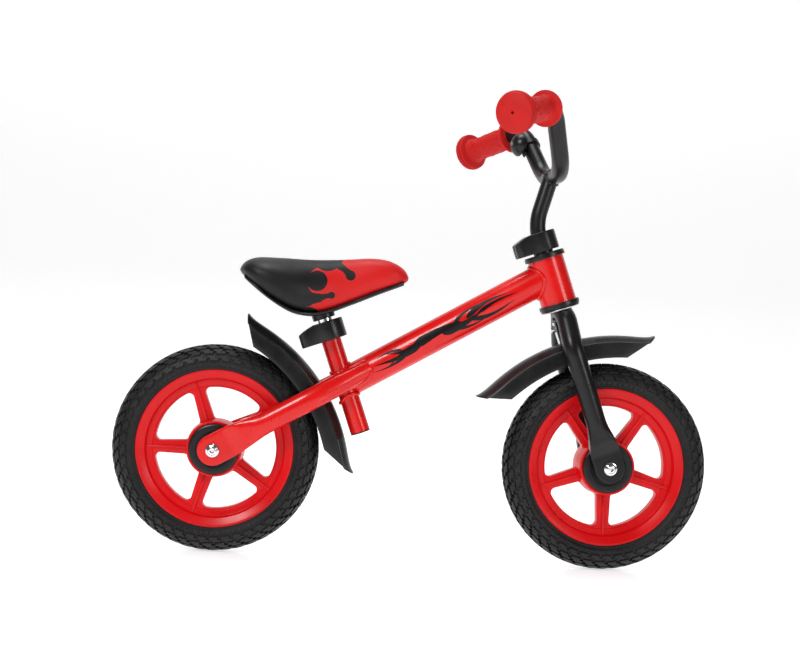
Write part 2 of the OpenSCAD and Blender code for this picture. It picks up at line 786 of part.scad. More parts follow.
bell_s = 31;
bell_w = 8;
bell_reach = 20;
bell_r = 18.6;
bell_sunk = 7;
bell_wall = 1.4;
bell_post_r = 4;
bell_screw_r = 1.5;
module on_bell() {
    way = unit(bar_shoulder - bar_corner);
    steered() translate(bar_shoulder - way * bell_s)
        rotate([0, acos(way.z), atan2(way.y, way.x)]) rotate([0, 0, 90]) rotate([0, 90, 0])
            children();
}

module bell_base() color([0.05, 0.05, 0.05]) on_bell() difference() {
    union() {
        rotate([0, 90, 0]) cylinder(d = bar_d + 5, h = bell_w, center = true);
        cylinder(r = bell_post_r, h = bell_reach + 10);
        translate([0, 0, bell_reach - 5.5]) cylinder(d = 26, h = 2);
    }
    rotate([0, 90, 0]) cylinder(d = bar_d + 0.1, h = 20, center = true);
    translate([0, 0, bell_reach - 6]) cylinder(r = bell_screw_r, h = 20);
}

module bell_dome() color([0.05, 0.05, 0.05]) on_bell() translate([0, 0, bell_reach]) difference() {
    intersection() {
        translate([0, 0, -bell_sunk]) sphere(r = bell_r);
        cylinder(d = 60, h = 20);
    }
    translate([0, 0, -bell_sunk]) sphere(r = bell_r - bell_wall);
    cylinder(r = bell_screw_r, h = 30);
}

module bell_screw() color([0.8, 0.8, 0.82]) on_bell() {
    translate([0, 0, bell_reach - 6]) cylinder(r = bell_screw_r, h = 19);
    translate([0, 0, bell_reach + bell_r - bell_sunk]) cylinder(r = 3, h = 1.8);
}

module bell_lever() color([0.05, 0.05, 0.05]) on_bell() translate([0, 0, bell_reach - 3.2])
    difference() {
        union() {
            cylinder(r = bell_post_r + 3, h = 2.2);
            translate([0, -3, 0]) cube([23, 6, 2.2]);
        }
        translate([0, 0, -1]) cylinder(r = bell_post_r + 0.06, h = 5);
    }

main_tube();
head_tube();
seat_tube();
left_stay();
right_stay();
seat_tube_plug();
upper_headset_cup();
lower_headset_cup();
rear_axle_bolt();
rear_axle_nut();
rear_axle_spacers();
rear_fender();
rear_fender_spacer();
rear_fender_bolt();
seat_clamp_collar();
seat_clamp_bolt();
seat_clamp_nut();
seat_clamp_pin();
seat_clamp_lever();
seat_post();
saddle_bracket();
saddle_base();
saddle_screws();
saddle_pad();
rear_tyre();
rear_rim();
rear_spokes();
rear_hub();
rear_hub_caps();
rear_bearings();
rear_hub_sleeve();
steerer_tube();
crown_washer();
left_blade();
right_blade();
front_axle_bolt();
front_axle_nut();
front_axle_spacers();
front_fender();
front_fender_bracket();
front_fender_bolt();
front_fender_nut();
front_fender_screw();
stem_clamp_collar();
stem_clamp_bolt();
stem_clamp_nut();
stem_clamp_pin();
stem_clamp_lever();
stem();
handlebar();
left_grip();
right_grip();
bell_base();
bell_dome();
bell_lever();
bell_screw();
front_tyre();
front_rim();
front_spokes();
front_hub();
front_hub_caps();
front_bearings();
front_hub_sleeve();
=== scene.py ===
"""Looks for the balance bike: gloss red frame, black fork and handlebar, foam tyres,
moulded rims and mudguards, a padded two-colour saddle and lever clamps."""
import json
from math import asin, atan2, ceil, copysign, cos, degrees, pi, radians, sin, sqrt, tan
import bmesh
import bpy
from mathutils import Matrix, Vector


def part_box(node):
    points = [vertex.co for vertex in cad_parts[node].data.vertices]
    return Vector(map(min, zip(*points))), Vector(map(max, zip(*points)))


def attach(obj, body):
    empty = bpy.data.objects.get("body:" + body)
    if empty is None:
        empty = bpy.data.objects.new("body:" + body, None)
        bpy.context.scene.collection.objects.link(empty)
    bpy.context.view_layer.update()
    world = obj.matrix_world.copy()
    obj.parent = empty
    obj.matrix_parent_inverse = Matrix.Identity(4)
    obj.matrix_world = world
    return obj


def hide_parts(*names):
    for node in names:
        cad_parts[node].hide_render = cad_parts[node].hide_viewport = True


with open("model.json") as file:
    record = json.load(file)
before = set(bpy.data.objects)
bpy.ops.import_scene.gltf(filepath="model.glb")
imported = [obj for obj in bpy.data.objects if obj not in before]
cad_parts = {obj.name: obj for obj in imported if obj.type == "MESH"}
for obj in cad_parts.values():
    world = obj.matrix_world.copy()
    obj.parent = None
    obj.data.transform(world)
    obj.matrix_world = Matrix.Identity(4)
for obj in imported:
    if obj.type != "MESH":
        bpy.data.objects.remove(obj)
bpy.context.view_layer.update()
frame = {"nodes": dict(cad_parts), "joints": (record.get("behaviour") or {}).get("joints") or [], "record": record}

# Everything below is drawn in millimetres and scaled once, as each piece is finished.
MM = 0.001
LEFT = Vector((0, 1, 0))

joints = {joint["name"]: joint for joint in frame["joints"]}


def spot(name):
    """A joint's place in millimetres."""
    return Vector(joints[name]["pos_m"]) / MM


def way(name):
    """A joint's direction."""
    return Vector(joints[name]["axis"]).normalized()


def leaning(origin, up):
    """A frame with Z up a leaning tube, X forwards and square to it, Y to the left."""
    forward = LEFT.cross(up)
    turn = Matrix((forward, LEFT, up)).transposed().to_4x4()
    return Matrix.Translation(origin) @ turn


HEAD_UP = way("steering")
HEAD = leaning(spot("steering"), HEAD_UP)
SPIN = way("front_wheel_spin")
STEER = atan2(LEFT.cross(SPIN).dot(HEAD_UP), LEFT.dot(SPIN))
TURNED = HEAD @ Matrix.Rotation(STEER, 4, "Z") @ HEAD.inverted()
REAR_AXLE = spot("rear_wheel_spin")
FRONT_AXLE = TURNED.inverted() @ spot("front_wheel_spin")
TUBE_FOOT = Vector(frame["record"]["mounts"][0]["pos_m"]) / MM
# Up the seat tube, from the middle of its stated foot to the point it is drawn from.
FOOT_REACH = 112.5
SEAT_UP = way("seat_height")
SEAT = leaning(TUBE_FOOT + SEAT_UP * FOOT_REACH, SEAT_UP)
STRAIGHT = Matrix.Identity(4)


# ---------------------------------------------------------------- mesh tools

def arc_turn(v, a):
    """A flat vector turned by an angle."""
    return Vector((v.x * cos(a) - v.y * sin(a), v.x * sin(a) + v.y * cos(a)))


def rounded(corners, closed=True, step=12):
    """Points through corners (x, y, radius), with an arc in place of each corner."""
    points = []
    for i, (x, y, r) in enumerate(corners):
        here = Vector((x, y))
        if r == 0 or (not closed and i in (0, len(corners) - 1)):
            points.append(here)
            continue
        a = (Vector(corners[i - 1][:2]) - here).normalized()
        b = (Vector(corners[(i + 1) % len(corners)][:2]) - here).normalized()
        half = a.angle(b) / 2
        centre = here + (a + b).normalized() * (r / sin(half))
        start = here + a * (r / tan(half)) - centre
        end = here + b * (r / tan(half)) - centre
        sweep = copysign(pi - 2 * half, start.cross(end))
        count = max(2, ceil(abs(degrees(sweep)) / step))
        points += [centre + arc_turn(start, sweep * k / count) for k in range(count + 1)]
    return points


def mirrored(half):
    """A closed outline from the half with heights above 0, given from inside to outside."""
    return half + [(r, -z, c) for r, z, c in reversed(half)]


def lathe(bm, outline, steps=96, closed=True):
    """Spins an outline of (radius, height) about Z."""
    verts = [bm.verts.new((p[0], 0, p[1])) for p in outline]
    ends = zip(verts, verts[1:] + verts[:1]) if closed else zip(verts, verts[1:])
    edges = [bm.edges.new(pair) for pair in ends]
    bmesh.ops.spin(
        bm, geom=verts + edges, cent=(0, 0, 0), axis=(0, 0, 1), dvec=(0, 0, 0),
        angle=2 * pi, steps=steps, use_merge=True,
    )


def skin(bm, rings, closed=True, caps=True):
    """A wall through rings of points, each ring extruded from the one before."""
    count = len(rings[0])
    if closed:
        ring = bmesh.ops.create_circle(bm, segments=count, radius=1)["verts"]
    else:
        ring = [bm.verts.new((i, 0, 0)) for i in range(count)]
        for pair in zip(ring, ring[1:]):
            bm.edges.new(pair)
    ring = list(ring)
    for vert, place in zip(ring, rings[0]):
        vert.co = place
    first = ring
    for places in rings[1:]:
        pairs = zip(ring, ring[1:] + ring[:1]) if closed else zip(ring, ring[1:])
        edges = [bm.edges.get(pair) for pair in pairs]
        made = bmesh.ops.extrude_edge_only(bm, edges=edges)["geom"]
        fresh = {item for item in made if isinstance(item, bmesh.types.BMVert)}
        ring = [
            next(e.other_vert(v) for e in v.link_edges if e.other_vert(v) in fresh)
            for v in ring
        ]
        for vert, place in zip(ring, places):
            vert.co = place
    if closed and caps:
        bm.faces.new(first)
        bm.faces.new(ring)
    return first, ring


def circle(radius, height, count=48, corners=0):
    """A level ring of points, or a regular polygon's outline with as many points."""
    ring = []
    for i in range(count):
        a = 2 * pi * i / count
        r = radius
        if corners:
            part = 2 * pi / corners
            r = radius * cos(part / 2) / cos(a % part - part / 2)
        ring.append(Vector((r * cos(a), r * sin(a), height)))
    return ring


def shrunk(outline, inset):
    """A closed flat outline moved inwards by a small distance, point by point."""
    count = len(outline)
    area = sum(p.cross(q) for p, q in zip(outline, outline[1:] + outline[:1]))
    moved = []
    for i, p in enumerate(outline):
        along = (outline[(i + 1) % count] - outline[i - 1]).normalized()
        inward = Vector((-along.y, along.x)) * copysign(1, area)
        moved.append(p + inward * inset)
    return moved


def slab(bm, outline, low, top, edge, steps=4):
    """A plate with rounded edges. top is a height, or gives one for each point."""
    height = top if callable(top) else (lambda p: top)
    rings = []
    for k in range(steps + 1):
        a = pi / 2 * k / steps
        ring = shrunk(outline, edge * (1 - sin(a)))
        rings.append([Vector((p.x, p.y, low + edge * (1 - cos(a)))) for p in ring])
    for k in range(steps, -1, -1):
        a = pi / 2 * k / steps
        ring = shrunk(outline, edge * (1 - sin(a)))
        rings.append([Vector((p.x, p.y, height(p) - edge * (1 - cos(a)))) for p in ring])
    skin(bm, rings)


def route(corners, bends, step=5):
    """Places and directions along corners, with a bend at each inner one."""
    runs = [(q - p).normalized() for p, q in zip(corners, corners[1:])]
    stops = [(corners[0], runs[0])]
    for corner, bend, into, out in zip(corners[1:], bends, runs, runs[1:]):
        whole = into.angle(out)
        square = (out - into * into.dot(out)).normalized()
        start = corner - into * bend * tan(whole / 2)
        count = ceil(degrees(whole) / step)
        for k in range(count + 1):
            a = whole * k / count
            place = start + into * bend * sin(a) + square * bend * (1 - cos(a))
            stops.append((place, into * cos(a) + square * sin(a)))
    stops.append((corners[-1], runs[-1]))
    return stops


def tube(bm, stops, radius, sides=48):
    """A round tube with closed ends along places and directions."""
    side = stops[0][1].orthogonal().normalized()
    rings = []
    for place, along in stops:
        side = (side - along * side.dot(along)).normalized()
        other = along.cross(side)
        rings.append([
            place + (side * cos(a) + other * sin(a)) * radius
            for a in (2 * pi * i / sides for i in range(sides))
        ])
    skin(bm, rings)


def bead(bm, path, radius):
    """A weld's ridge round a closed line, rippled where each drop of metal froze."""
    ripple = 4.2
    gone = 0
    rings = []
    side = None
    for i, place in enumerate(path):
        after = path[(i + 1) % len(path)]
        along = (after - path[i - 1]).normalized()
        side = along.orthogonal() if side is None else side
        side = (side - along * side.dot(along)).normalized()
        other = along.cross(side)
        r = radius * (0.93 + 0.1 * abs(sin(pi * gone / ripple)))
        rings.append([
            place + (side * cos(a) + other * sin(a)) * r
            for a in (2 * pi * k / 12 for k in range(12))
        ])
        gone += (after - place).length
    rings.append(rings[0])
    skin(bm, rings, caps=False)


def found(inside, low, high):
    """The distance between low and high at which a point goes inside."""
    for _ in range(30):
        mid = (low + high) / 2
        if inside(mid):
            high = mid
        else:
            low = mid
    return high


def off_line(p, at, along):
    """How far a point is from a line."""
    d = p - at
    return (d - along * d.dot(along)).length


def even(points, gap):
    """The same line with points at an even spacing, closed."""
    points = points + points[:1]
    lengths = [(q - p).length for p, q in zip(points, points[1:])]
    count = max(8, round(sum(lengths) / gap))
    out = []
    gone, i = 0.0, 0
    for k in range(count):
        goal = sum(lengths) * k / count
        while i < len(lengths) - 1 and gone + lengths[i] < goal:
            gone += lengths[i]
            i += 1
        part = (goal - gone) / max(lengths[i], 1e-6)
        out.append(points[i].lerp(points[i + 1], part))
    return out


def finished(bm, name, body, finish, nodes=(), place=STRAIGHT, sharp=32, merge=0.004):
    """Turns a drawing into a piece of the bike: placed, smoothed, coloured and riding."""
    bmesh.ops.remove_doubles(bm, verts=bm.verts, dist=merge)
    bmesh.ops.recalc_face_normals(bm, faces=bm.faces)
    bmesh.ops.transform(bm, matrix=Matrix.Scale(MM, 4) @ place, verts=bm.verts)
    mesh = bpy.data.meshes.new(name)
    bm.to_mesh(mesh)
    bm.free()
    for face in mesh.polygons:
        face.use_smooth = True
    mesh.set_sharp_from_angle(angle=radians(sharp))
    mesh.materials.append(FINISH[finish])
    obj = bpy.data.objects.new(name, mesh)
    bpy.context.scene.collection.objects.link(obj)
    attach(obj, body)
    if nodes:
        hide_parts(*nodes)
    return obj


# ---------------------------------------------------------------- materials

def group(name, inputs, outputs):
    """An empty shader group with named sockets."""
    tree = bpy.data.node_groups.new(name, "ShaderNodeTree")
    for label, kind, value in inputs:
        socket = tree.interface.new_socket(label, in_out="INPUT", socket_type=kind)
        if value is not None:
            socket.default_value = value
    for label, kind in outputs:
        tree.interface.new_socket(label, in_out="OUTPUT", socket_type=kind)
    return tree, tree.nodes.new("NodeGroupInput"), tree.nodes.new("NodeGroupOutput")


def math(tree, operation, a, b=None, c=None):
    """A Math node's output. Arguments are sockets or numbers."""
    node = tree.nodes.new("ShaderNodeMath")
    node.operation = operation
    for socket, value in zip(node.inputs, (a, b, c)):
        if value is None:
            continue
        if hasattr(value, "links"):
            tree.links.new(value, socket)
        else:
            socket.default_value = value
    return node.outputs[0]


def noise(tree, vector, scale, detail, rough=0.5):
    """A Noise Texture's output. The scale is a socket or a number."""
    node = tree.nodes.new("ShaderNodeTexNoise")
    node.inputs["Detail"].default_value = detail
    node.inputs["Roughness"].default_value = rough
    if hasattr(scale, "links"):
        tree.links.new(scale, node.inputs["Scale"])
    else:
        node.inputs["Scale"].default_value = scale
    tree.links.new(vector, node.inputs["Vector"])
    return node.outputs["Fac"]


def grain_group():
    """Fine grain for moulded, foamed and painted surfaces: a height and a blotchy mask."""
    tree, inlet, outlet = group(
        "surface_grain",
        [("Vector", "NodeSocketVector", None), ("Fine", "NodeSocketFloat", 900.0),
         ("Broad", "NodeSocketFloat", 30.0)],
        [("Height", "NodeSocketFloat"), ("Mask", "NodeSocketFloat")],
    )
    fine = noise(tree, inlet.outputs["Vector"], inlet.outputs["Fine"], 2.0)
    broad = noise(tree, inlet.outputs["Vector"], inlet.outputs["Broad"], 5.0, 0.6)
    tree.links.new(fine, outlet.inputs["Height"])
    tree.links.new(broad, outlet.inputs["Mask"])
    return tree


def pebble_group():
    """Pebbled grain of a moulded cover: small cells with soft valleys."""
    tree, inlet, outlet = group(
        "pebble_grain",
        [("Vector", "NodeSocketVector", None), ("Scale", "NodeSocketFloat", 700.0)],
        [("Height", "NodeSocketFloat")],
    )
    cells = tree.nodes.new("ShaderNodeTexVoronoi")
    cells.feature = "SMOOTH_F1"
    cells.inputs["Smoothness"].default_value = 0.4
    tree.links.new(inlet.outputs["Vector"], cells.inputs["Vector"])
    tree.links.new(inlet.outputs["Scale"], cells.inputs["Scale"])
    tree.links.new(math(tree, "MULTIPLY", cells.outputs["Distance"], 1.4), outlet.inputs["Height"])
    return tree


GRAIN = grain_group()
PEBBLE = pebble_group()


class Finish:
    """A material under way: its tree, its Principled shader and its object coordinates."""

    def __init__(self, name, colour, roughness, metallic=0.0, **sockets):
        self.material = bpy.data.materials.new(name)
        self.material.use_nodes = True
        self.tree = self.material.node_tree
        self.shader = self.tree.nodes["Principled BSDF"]
        self.shader.inputs["Base Color"].default_value = (*colour, 1.0)
        self.shader.inputs["Roughness"].default_value = roughness
        self.shader.inputs["Metallic"].default_value = metallic
        for label, value in sockets.items():
            self.shader.inputs[label.replace("_", " ")].default_value = value
        self.place = self.tree.nodes.new("ShaderNodeTexCoord").outputs["Object"]

    def grain(self, fine, broad):
        """The height and the mask of the fine grain."""
        node = self.tree.nodes.new("ShaderNodeGroup")
        node.node_tree = GRAIN
        node.inputs["Fine"].default_value = fine
        node.inputs["Broad"].default_value = broad
        self.tree.links.new(self.place, node.inputs["Vector"])
        return node.outputs["Height"], node.outputs["Mask"]

    def pebble(self, scale):
        """The height of the pebbled grain."""
        node = self.tree.nodes.new("ShaderNodeGroup")
        node.node_tree = PEBBLE
        node.inputs["Scale"].default_value = scale
        self.tree.links.new(self.place, node.inputs["Vector"])
        return node.outputs["Height"]

    def bump(self, height, distance, strength):
        """Tilts the surface by a height, given how deep it is in metres."""
        node = self.tree.nodes.new("ShaderNodeBump")
        node.inputs["Strength"].default_value = strength
        node.inputs["Distance"].default_value = distance
        self.tree.links.new(height, node.inputs["Height"])
        self.tree.links.new(node.outputs["Normal"], self.shader.inputs["Normal"])

    def vary(self, mask, low, high):
        """Roughness between low and high, as a mask says."""
        node = self.tree.nodes.new("ShaderNodeMapRange")
        node.inputs["From Min"].default_value = 0.3
        node.inputs["From Max"].default_value = 0.7
        node.inputs["To Min"].default_value = low
        node.inputs["To Max"].default_value = high
        self.tree.links.new(mask, node.inputs["Value"])
        self.tree.links.new(node.outputs["Result"], self.shader.inputs["Roughness"])

    def tint(self, mask, low, high):
        """Base colour between two colours, as a mask says."""
        node = self.tree.nodes.new("ShaderNodeMix")
        node.data_type = "RGBA"
        node.inputs["A"].default_value = (*low, 1.0)
        node.inputs["B"].default_value = (*high, 1.0)
        sharpened = self.tree.nodes.new("ShaderNodeMapRange")
        sharpened.inputs["From Min"].default_value = 0.35
        sharpened.inputs["From Max"].default_value = 0.65
        self.tree.links.new(mask, sharpened.inputs["Value"])
        self.tree.links.new(sharpened.outputs["Result"], node.inputs["Factor"])
        self.tree.links.new(node.outputs["Result"], self.shader.inputs["Base Color"])


def gloss_red():
    """Red paint of the frame under a thin clear coat."""
    f = Finish("gloss_red_paint", (0.72, 0.005, 0.004), 0.24, Coat_Weight=0.3, Coat_Roughness=0.07,
               Specular_IOR_Level=0.3)
    height, mask = f.grain(420, 22)
    f.bump(height, 0.00006, 0.35)
    f.vary(mask, 0.2, 0.32)
    f.tint(mask, (0.68, 0.004, 0.003), (0.76, 0.006, 0.005))
    return f.material


def satin_black():
    """Black paint of the fork, bars and stem."""
    f = Finish("satin_black_paint", (0.007, 0.007, 0.008), 0.3, Specular_IOR_Level=0.36)
    height, mask = f.grain(800, 26)
    f.bump(height, 0.00005, 0.4)
    f.vary(mask, 0.25, 0.36)
    f.tint(mask, (0.005, 0.005, 0.006), (0.009, 0.009, 0.010))
    return f.material


def moulded_black():
    """Black plastic of the mudguards, clamps, cups and hub discs."""
    f = Finish("moulded_black_plastic", (0.009, 0.009, 0.010), 0.28, Specular_IOR_Level=0.36)
    height, mask = f.grain(1500, 35)
    f.bump(height, 0.00008, 0.5)
    f.vary(mask, 0.24, 0.36)
    f.tint(mask, (0.007, 0.007, 0.008), (0.012, 0.012, 0.013))
    return f.material


def rim_red():
    """Red plastic of the rims, moulded in its colour."""
    f = Finish("moulded_red_plastic", (0.70, 0.003, 0.006), 0.3, Specular_IOR_Level=0.28)
    height, mask = f.grain(700, 18)
    f.bump(height, 0.00005, 0.35)
    f.vary(mask, 0.25, 0.38)
    f.tint(mask, (0.66, 0.003, 0.005), (0.74, 0.004, 0.008))
    return f.material


def tyre_foam():
    """Black foam with open cells in its skin."""
    f = Finish("foam_tyre", (0.012, 0.012, 0.013), 0.55, Specular_IOR_Level=0.3)
    cells = f.pebble(950)
    height, mask = f.grain(2400, 24)
    both = math(f.tree, "ADD", math(f.tree, "MULTIPLY", cells, 0.7), height)
    f.bump(both, 0.00025, 0.7)
    f.vary(mask, 0.34, 0.52)
    f.tint(mask, (0.007, 0.007, 0.008), (0.016, 0.016, 0.017))
    return f.material


def grip_rubber():
    """Dull red rubber."""
    f = Finish("grip_rubber", (0.70, 0.008, 0.006), 0.55, Specular_IOR_Level=0.3)
    height, mask = f.grain(1700, 30)
    f.bump(height, 0.00015, 0.6)
    f.vary(mask, 0.54, 0.72)
    f.tint(mask, (0.52, 0.006, 0.005), (0.62, 0.009, 0.007))
    return f.material


def chrome():
    """Bright plate of the bolts and nuts."""
    f = Finish("chrome_plate", (0.83, 0.84, 0.86), 0.08, 1.0)
    height, mask = f.grain(1800, 60)
    f.bump(height, 0.00003, 0.3)
    f.vary(mask, 0.05, 0.16)
    return f.material


def zinc():
    """Duller plate with blotches."""
    f = Finish("zinc_plate", (0.66, 0.67, 0.69), 0.3, 1.0)
    height, mask = f.grain(1400, 90)
    f.bump(height, 0.00006, 0.5)
    f.vary(mask, 0.22, 0.42)
    f.tint(mask, (0.56, 0.57, 0.60), (0.74, 0.75, 0.76))
    return f.material


def decal_black():
    """Ink of the flames on the main tube."""
    f = Finish("printed_black", (0.005, 0.005, 0.005), 0.4, Specular_IOR_Level=0.25)
    height, mask = f.grain(2000, 40)
    f.bump(height, 0.00003, 0.3)
    f.vary(mask, 0.3, 0.42)
    return f.material


def disc_group():
    """1 inside an upright disc across the bike, 0 outside it."""
    tree, inlet, outlet = group(
        "flame_disc",
        [("Vector", "NodeSocketVector", None), ("X", "NodeSocketFloat", 0.0),
         ("Z", "NodeSocketFloat", 0.0), ("Radius", "NodeSocketFloat", 0.01)],
        [("Mask", "NodeSocketFloat")],
    )
    parts = tree.nodes.new("ShaderNodeSeparateXYZ")
    tree.links.new(inlet.outputs["Vector"], parts.inputs["Vector"])
    x = math(tree, "SUBTRACT", parts.outputs["X"], inlet.outputs["X"])
    z = math(tree, "SUBTRACT", parts.outputs["Z"], inlet.outputs["Z"])
    squares = math(tree, "ADD", math(tree, "MULTIPLY", x, x), math(tree, "MULTIPLY", z, z))
    reach = math(tree, "SQRT", squares)
    tree.links.new(math(tree, "LESS_THAN", reach, inlet.outputs["Radius"]), outlet.inputs["Mask"])
    return tree


DISC = disc_group()


def saddle_cover(tail, crown):
    """Two-colour saddle skin: red flames from the front lick back over black."""
    f = Finish("saddle_skin", (0.64, 0.008, 0.008), 0.45, Specular_IOR_Level=0.3)
    tree = f.tree

    def disc(x, down, radius):
        """A disc placed in millimetres from the tail and down from the crown."""
        node = tree.nodes.new("ShaderNodeGroup")
        node.node_tree = DISC
        node.inputs["X"].default_value = tail + x * MM
        node.inputs["Z"].default_value = crown - down * MM
        node.inputs["Radius"].default_value = radius * MM
        tree.links.new(f.place, node.inputs["Vector"])
        return node.outputs["Mask"]

    parts = tree.nodes.new("ShaderNodeSeparateXYZ")
    tree.links.new(f.place, parts.inputs["Vector"])
    front_from = 123
    tongues = ((120, 38, 20.6), (119, 72, 19.5))
    bites = (
        (112.4, 37.2, 14.2), (100.4, 62.7, 10.5), (102.3, 96, 22.5), (124.7, 1.3, 21.7),
        (143, 15.5, 5.2), (147, 18, 4.6), (151, 21, 4.4), (154.5, 24, 5.2), (158, 27.5, 7.0),
        (109, 61.6, 7.6), (115.4, 60.8, 6.4), (120.6, 59.4, 4.6), (125, 58, 3.7), (129, 57, 3.7),
        (133, 56.2, 4.9),
    )
    red = math(tree, "GREATER_THAN", parts.outputs["X"], tail + front_from * MM)
    for tongue in tongues:
        red = math(tree, "MAXIMUM", red, disc(*tongue))
    for bite in bites:
        red = math(tree, "MINIMUM", red, math(tree, "SUBTRACT", 1.0, disc(*bite)))
    pebbles = f.pebble(1300)
    fine, mask = f.grain(2200, 26)
    f.bump(math(tree, "ADD", pebbles, math(tree, "MULTIPLY", fine, 0.4)), 0.00012, 0.5)
    f.vary(mask, 0.4, 0.56)
    node = tree.nodes.new("ShaderNodeMix")
    node.data_type = "RGBA"
    node.inputs["A"].default_value = (0.007, 0.007, 0.008, 1)
    node.inputs["B"].default_value = (0.64, 0.008, 0.008, 1)
    tree.links.new(red, node.inputs["Factor"])
    tree.links.new(node.outputs["Result"], f.shader.inputs["Base Color"])
    return f.material


pad_low, pad_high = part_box("saddle_pad")
FINISH = {
    "red": gloss_red(),
    "black": satin_black(),
    "moulded": moulded_black(),
    "rim": rim_red(),
    "foam": tyre_foam(),
    "grip": grip_rubber(),
    "chrome": chrome(),
    "zinc": zinc(),
    "print": decal_black(),
    "saddle": saddle_cover(pad_low.x, pad_high.z),
}
SLOT = {
    "red": "frame_paint",
    "black": "black_paint",
    "moulded": "black_plastic",
    "rim": "rim_plastic",
    "foam": "tyre_foam",
    "grip": "grip_rubber",
    "chrome": "chrome",
    "zinc": "zinc",
    "print": "black_paint",
    "saddle": "saddle_cover",
}
for node in frame["record"]["subparts"]:
    wanted = next(k for k in SLOT if SLOT[k] == node["material_slot"])
    mesh = frame["nodes"][node["node"]].data
    mesh.materials.clear()
    mesh.materials.append(FINISH[wanted])


# ---------------------------------------------------------------- camera, light and floor

def camera():
    """Level view from the right, a little ahead of square on."""
    data = bpy.data.cameras.new("camera")
    data.sensor_width = 36
    data.lens = 65.33
    data.clip_end = 50
    obj = bpy.data.objects.new("camera", data)
    bpy.context.scene.collection.objects.link(obj)
    eye = (-0.0682, -2.0426, 0.3636)
    pan, tilt, roll = radians(-1.2563), radians(-1.0347), radians(2.9179)
    turn = Matrix.Rotation(pan, 4, "Z") @ Matrix.Rotation(tilt, 4, "X")
    turn = turn @ Matrix.Rotation(radians(90), 4, "X") @ Matrix.Rotation(roll, 4, "Z")
    obj.matrix_world = Matrix.Translation(eye) @ turn
    bpy.context.scene.camera = obj


def lamp(name, place, target, size, power):
    """A soft square lamp turned to a target."""
    data = bpy.data.lights.new(name, "AREA")
    data.size = size
    data.energy = power
    obj = bpy.data.objects.new(name, data)
    bpy.context.scene.collection.objects.link(obj)
    aim = (Vector(target) - Vector(place)).to_track_quat("-Z", "Y")
    obj.matrix_world = Matrix.Translation(place) @ aim.to_matrix().to_4x4()


def studio():
    """A pale sweep of floor and wall, lit softly from above and from both sides."""
    bm = bmesh.new()
    half, back, front, rise, bend = 6, 4, -6, 6, 1.5
    profile = [Vector((front, 0))]
    profile += rounded([(front, 0, 0), (back, 0, bend), (back, rise, 0)], False)
    rings = [[Vector((x, p.x, p.y)) for p in profile] for x in (-half, half)]
    skin(bm, rings, closed=False)
    bmesh.ops.recalc_face_normals(bm, faces=bm.faces)
    mesh = bpy.data.meshes.new("floor")
    bm.to_mesh(mesh)
    bm.free()
    for face in mesh.polygons:
        face.use_smooth = True
    f = Finish("pale_floor", (0.88, 0.88, 0.88), 0.22)
    f.shader.inputs["Specular IOR Level"].default_value = 0.4
    f.shader.inputs["Emission Color"].default_value = (1, 1, 1, 1)
    f.shader.inputs["Emission Strength"].default_value = 0.58
    mask = f.grain(60, 3)[1]
    f.vary(mask, 0.2, 0.26)
    mesh.materials.append(f.material)
    obj = bpy.data.objects.new("floor", mesh)
    bpy.context.scene.collection.objects.link(obj)
    world = bpy.data.worlds.new("studio")
    world.use_nodes = True
    world.node_tree.nodes["Background"].inputs["Color"].default_value = (1, 1, 1, 1)
    world.node_tree.nodes["Background"].inputs["Strength"].default_value = 0.12
    bpy.context.scene.world = world
    bpy.context.scene.view_settings.view_transform = "Standard"
    lamp("key", (-1.3, -1.8, 1.9), (0, 0, 0.3), 0.8, 36)
    lamp("fill", (1.9, -1.9, 1.0), (0, 0, 0.35), 0.8, 14)
    lamp("top", (-0.2, 0.2, 2.2), (0, 0, 0.2), 0.9, 17)


camera()
studio()


# ---------------------------------------------------------------- wheels

ACROSS = Matrix.Rotation(-pi / 2, 4, "X")
TYRE_R = 145
BLOCKS = 48


def tread_place(round_mm, over, lift):
    """A point on the tyre: its distance round, its distance over the crown, its height."""
    crown_r, shoulder = 141.0, 31.0
    a = over / shoulder
    r = crown_r - shoulder * 0.80 * (1 - cos(a)) + lift * cos(a * 0.9)
    z = shoulder * 0.86 * sin(a) + lift * sin(a * 0.9)
    turn = round_mm / TYRE_R
    return Vector((r * cos(turn), r * sin(turn), z))


def tread_block(bm, start, length, low, high, step, lift):
    """One block: a grid whose two halves are offset, with chamfered and sloping sides."""
    chamfer, slope, sink = 0.5, 0.45, 1.2
    made = bmesh.ops.create_grid(bm, x_segments=4, y_segments=3, size=0.5)["verts"]
    rows = sorted({round(v.co.y, 3) for v in made})
    level = dict(zip(rows, (-0.5, -0.06, 0.06, 0.5)))
    spots = {}
    for v in made:
        y = level[round(v.co.y, 3)]
        shift = step if y > 0 else -step
        spots[v] = [start + v.co.x * length + shift, low + (y + 0.5) * (high - low), lift]
    edges = [e for e in bm.edges if e.is_boundary and e.verts[0] in spots and e.verts[1] in spots]
    middle = (start, (low + high) / 2)
    for grow, fall in ((chamfer, chamfer), (slope, lift + sink)):
        out = bmesh.ops.extrude_edge_only(bm, edges=edges)["geom"]
        fresh = {v for v in out if isinstance(v, bmesh.types.BMVert)}
        for v in fresh:
            old = next(e.other_vert(v) for e in v.link_edges if e.other_vert(v) in spots
                       and e.other_vert(v) not in fresh)
            x, y, h = spots[old]
            shift = step if y > middle[1] else -step
            x += copysign(grow, x - middle[0] - shift)
            y += copysign(grow, y - middle[1]) if abs(y - middle[1]) > (high - low) * 0.4 else 0
            spots[v] = [x, y, h - fall]
        edges = [e for e in out if isinstance(e, bmesh.types.BMEdge)]
    for v, (x, y, h) in spots.items():
        v.co = tread_place(x, y, h)


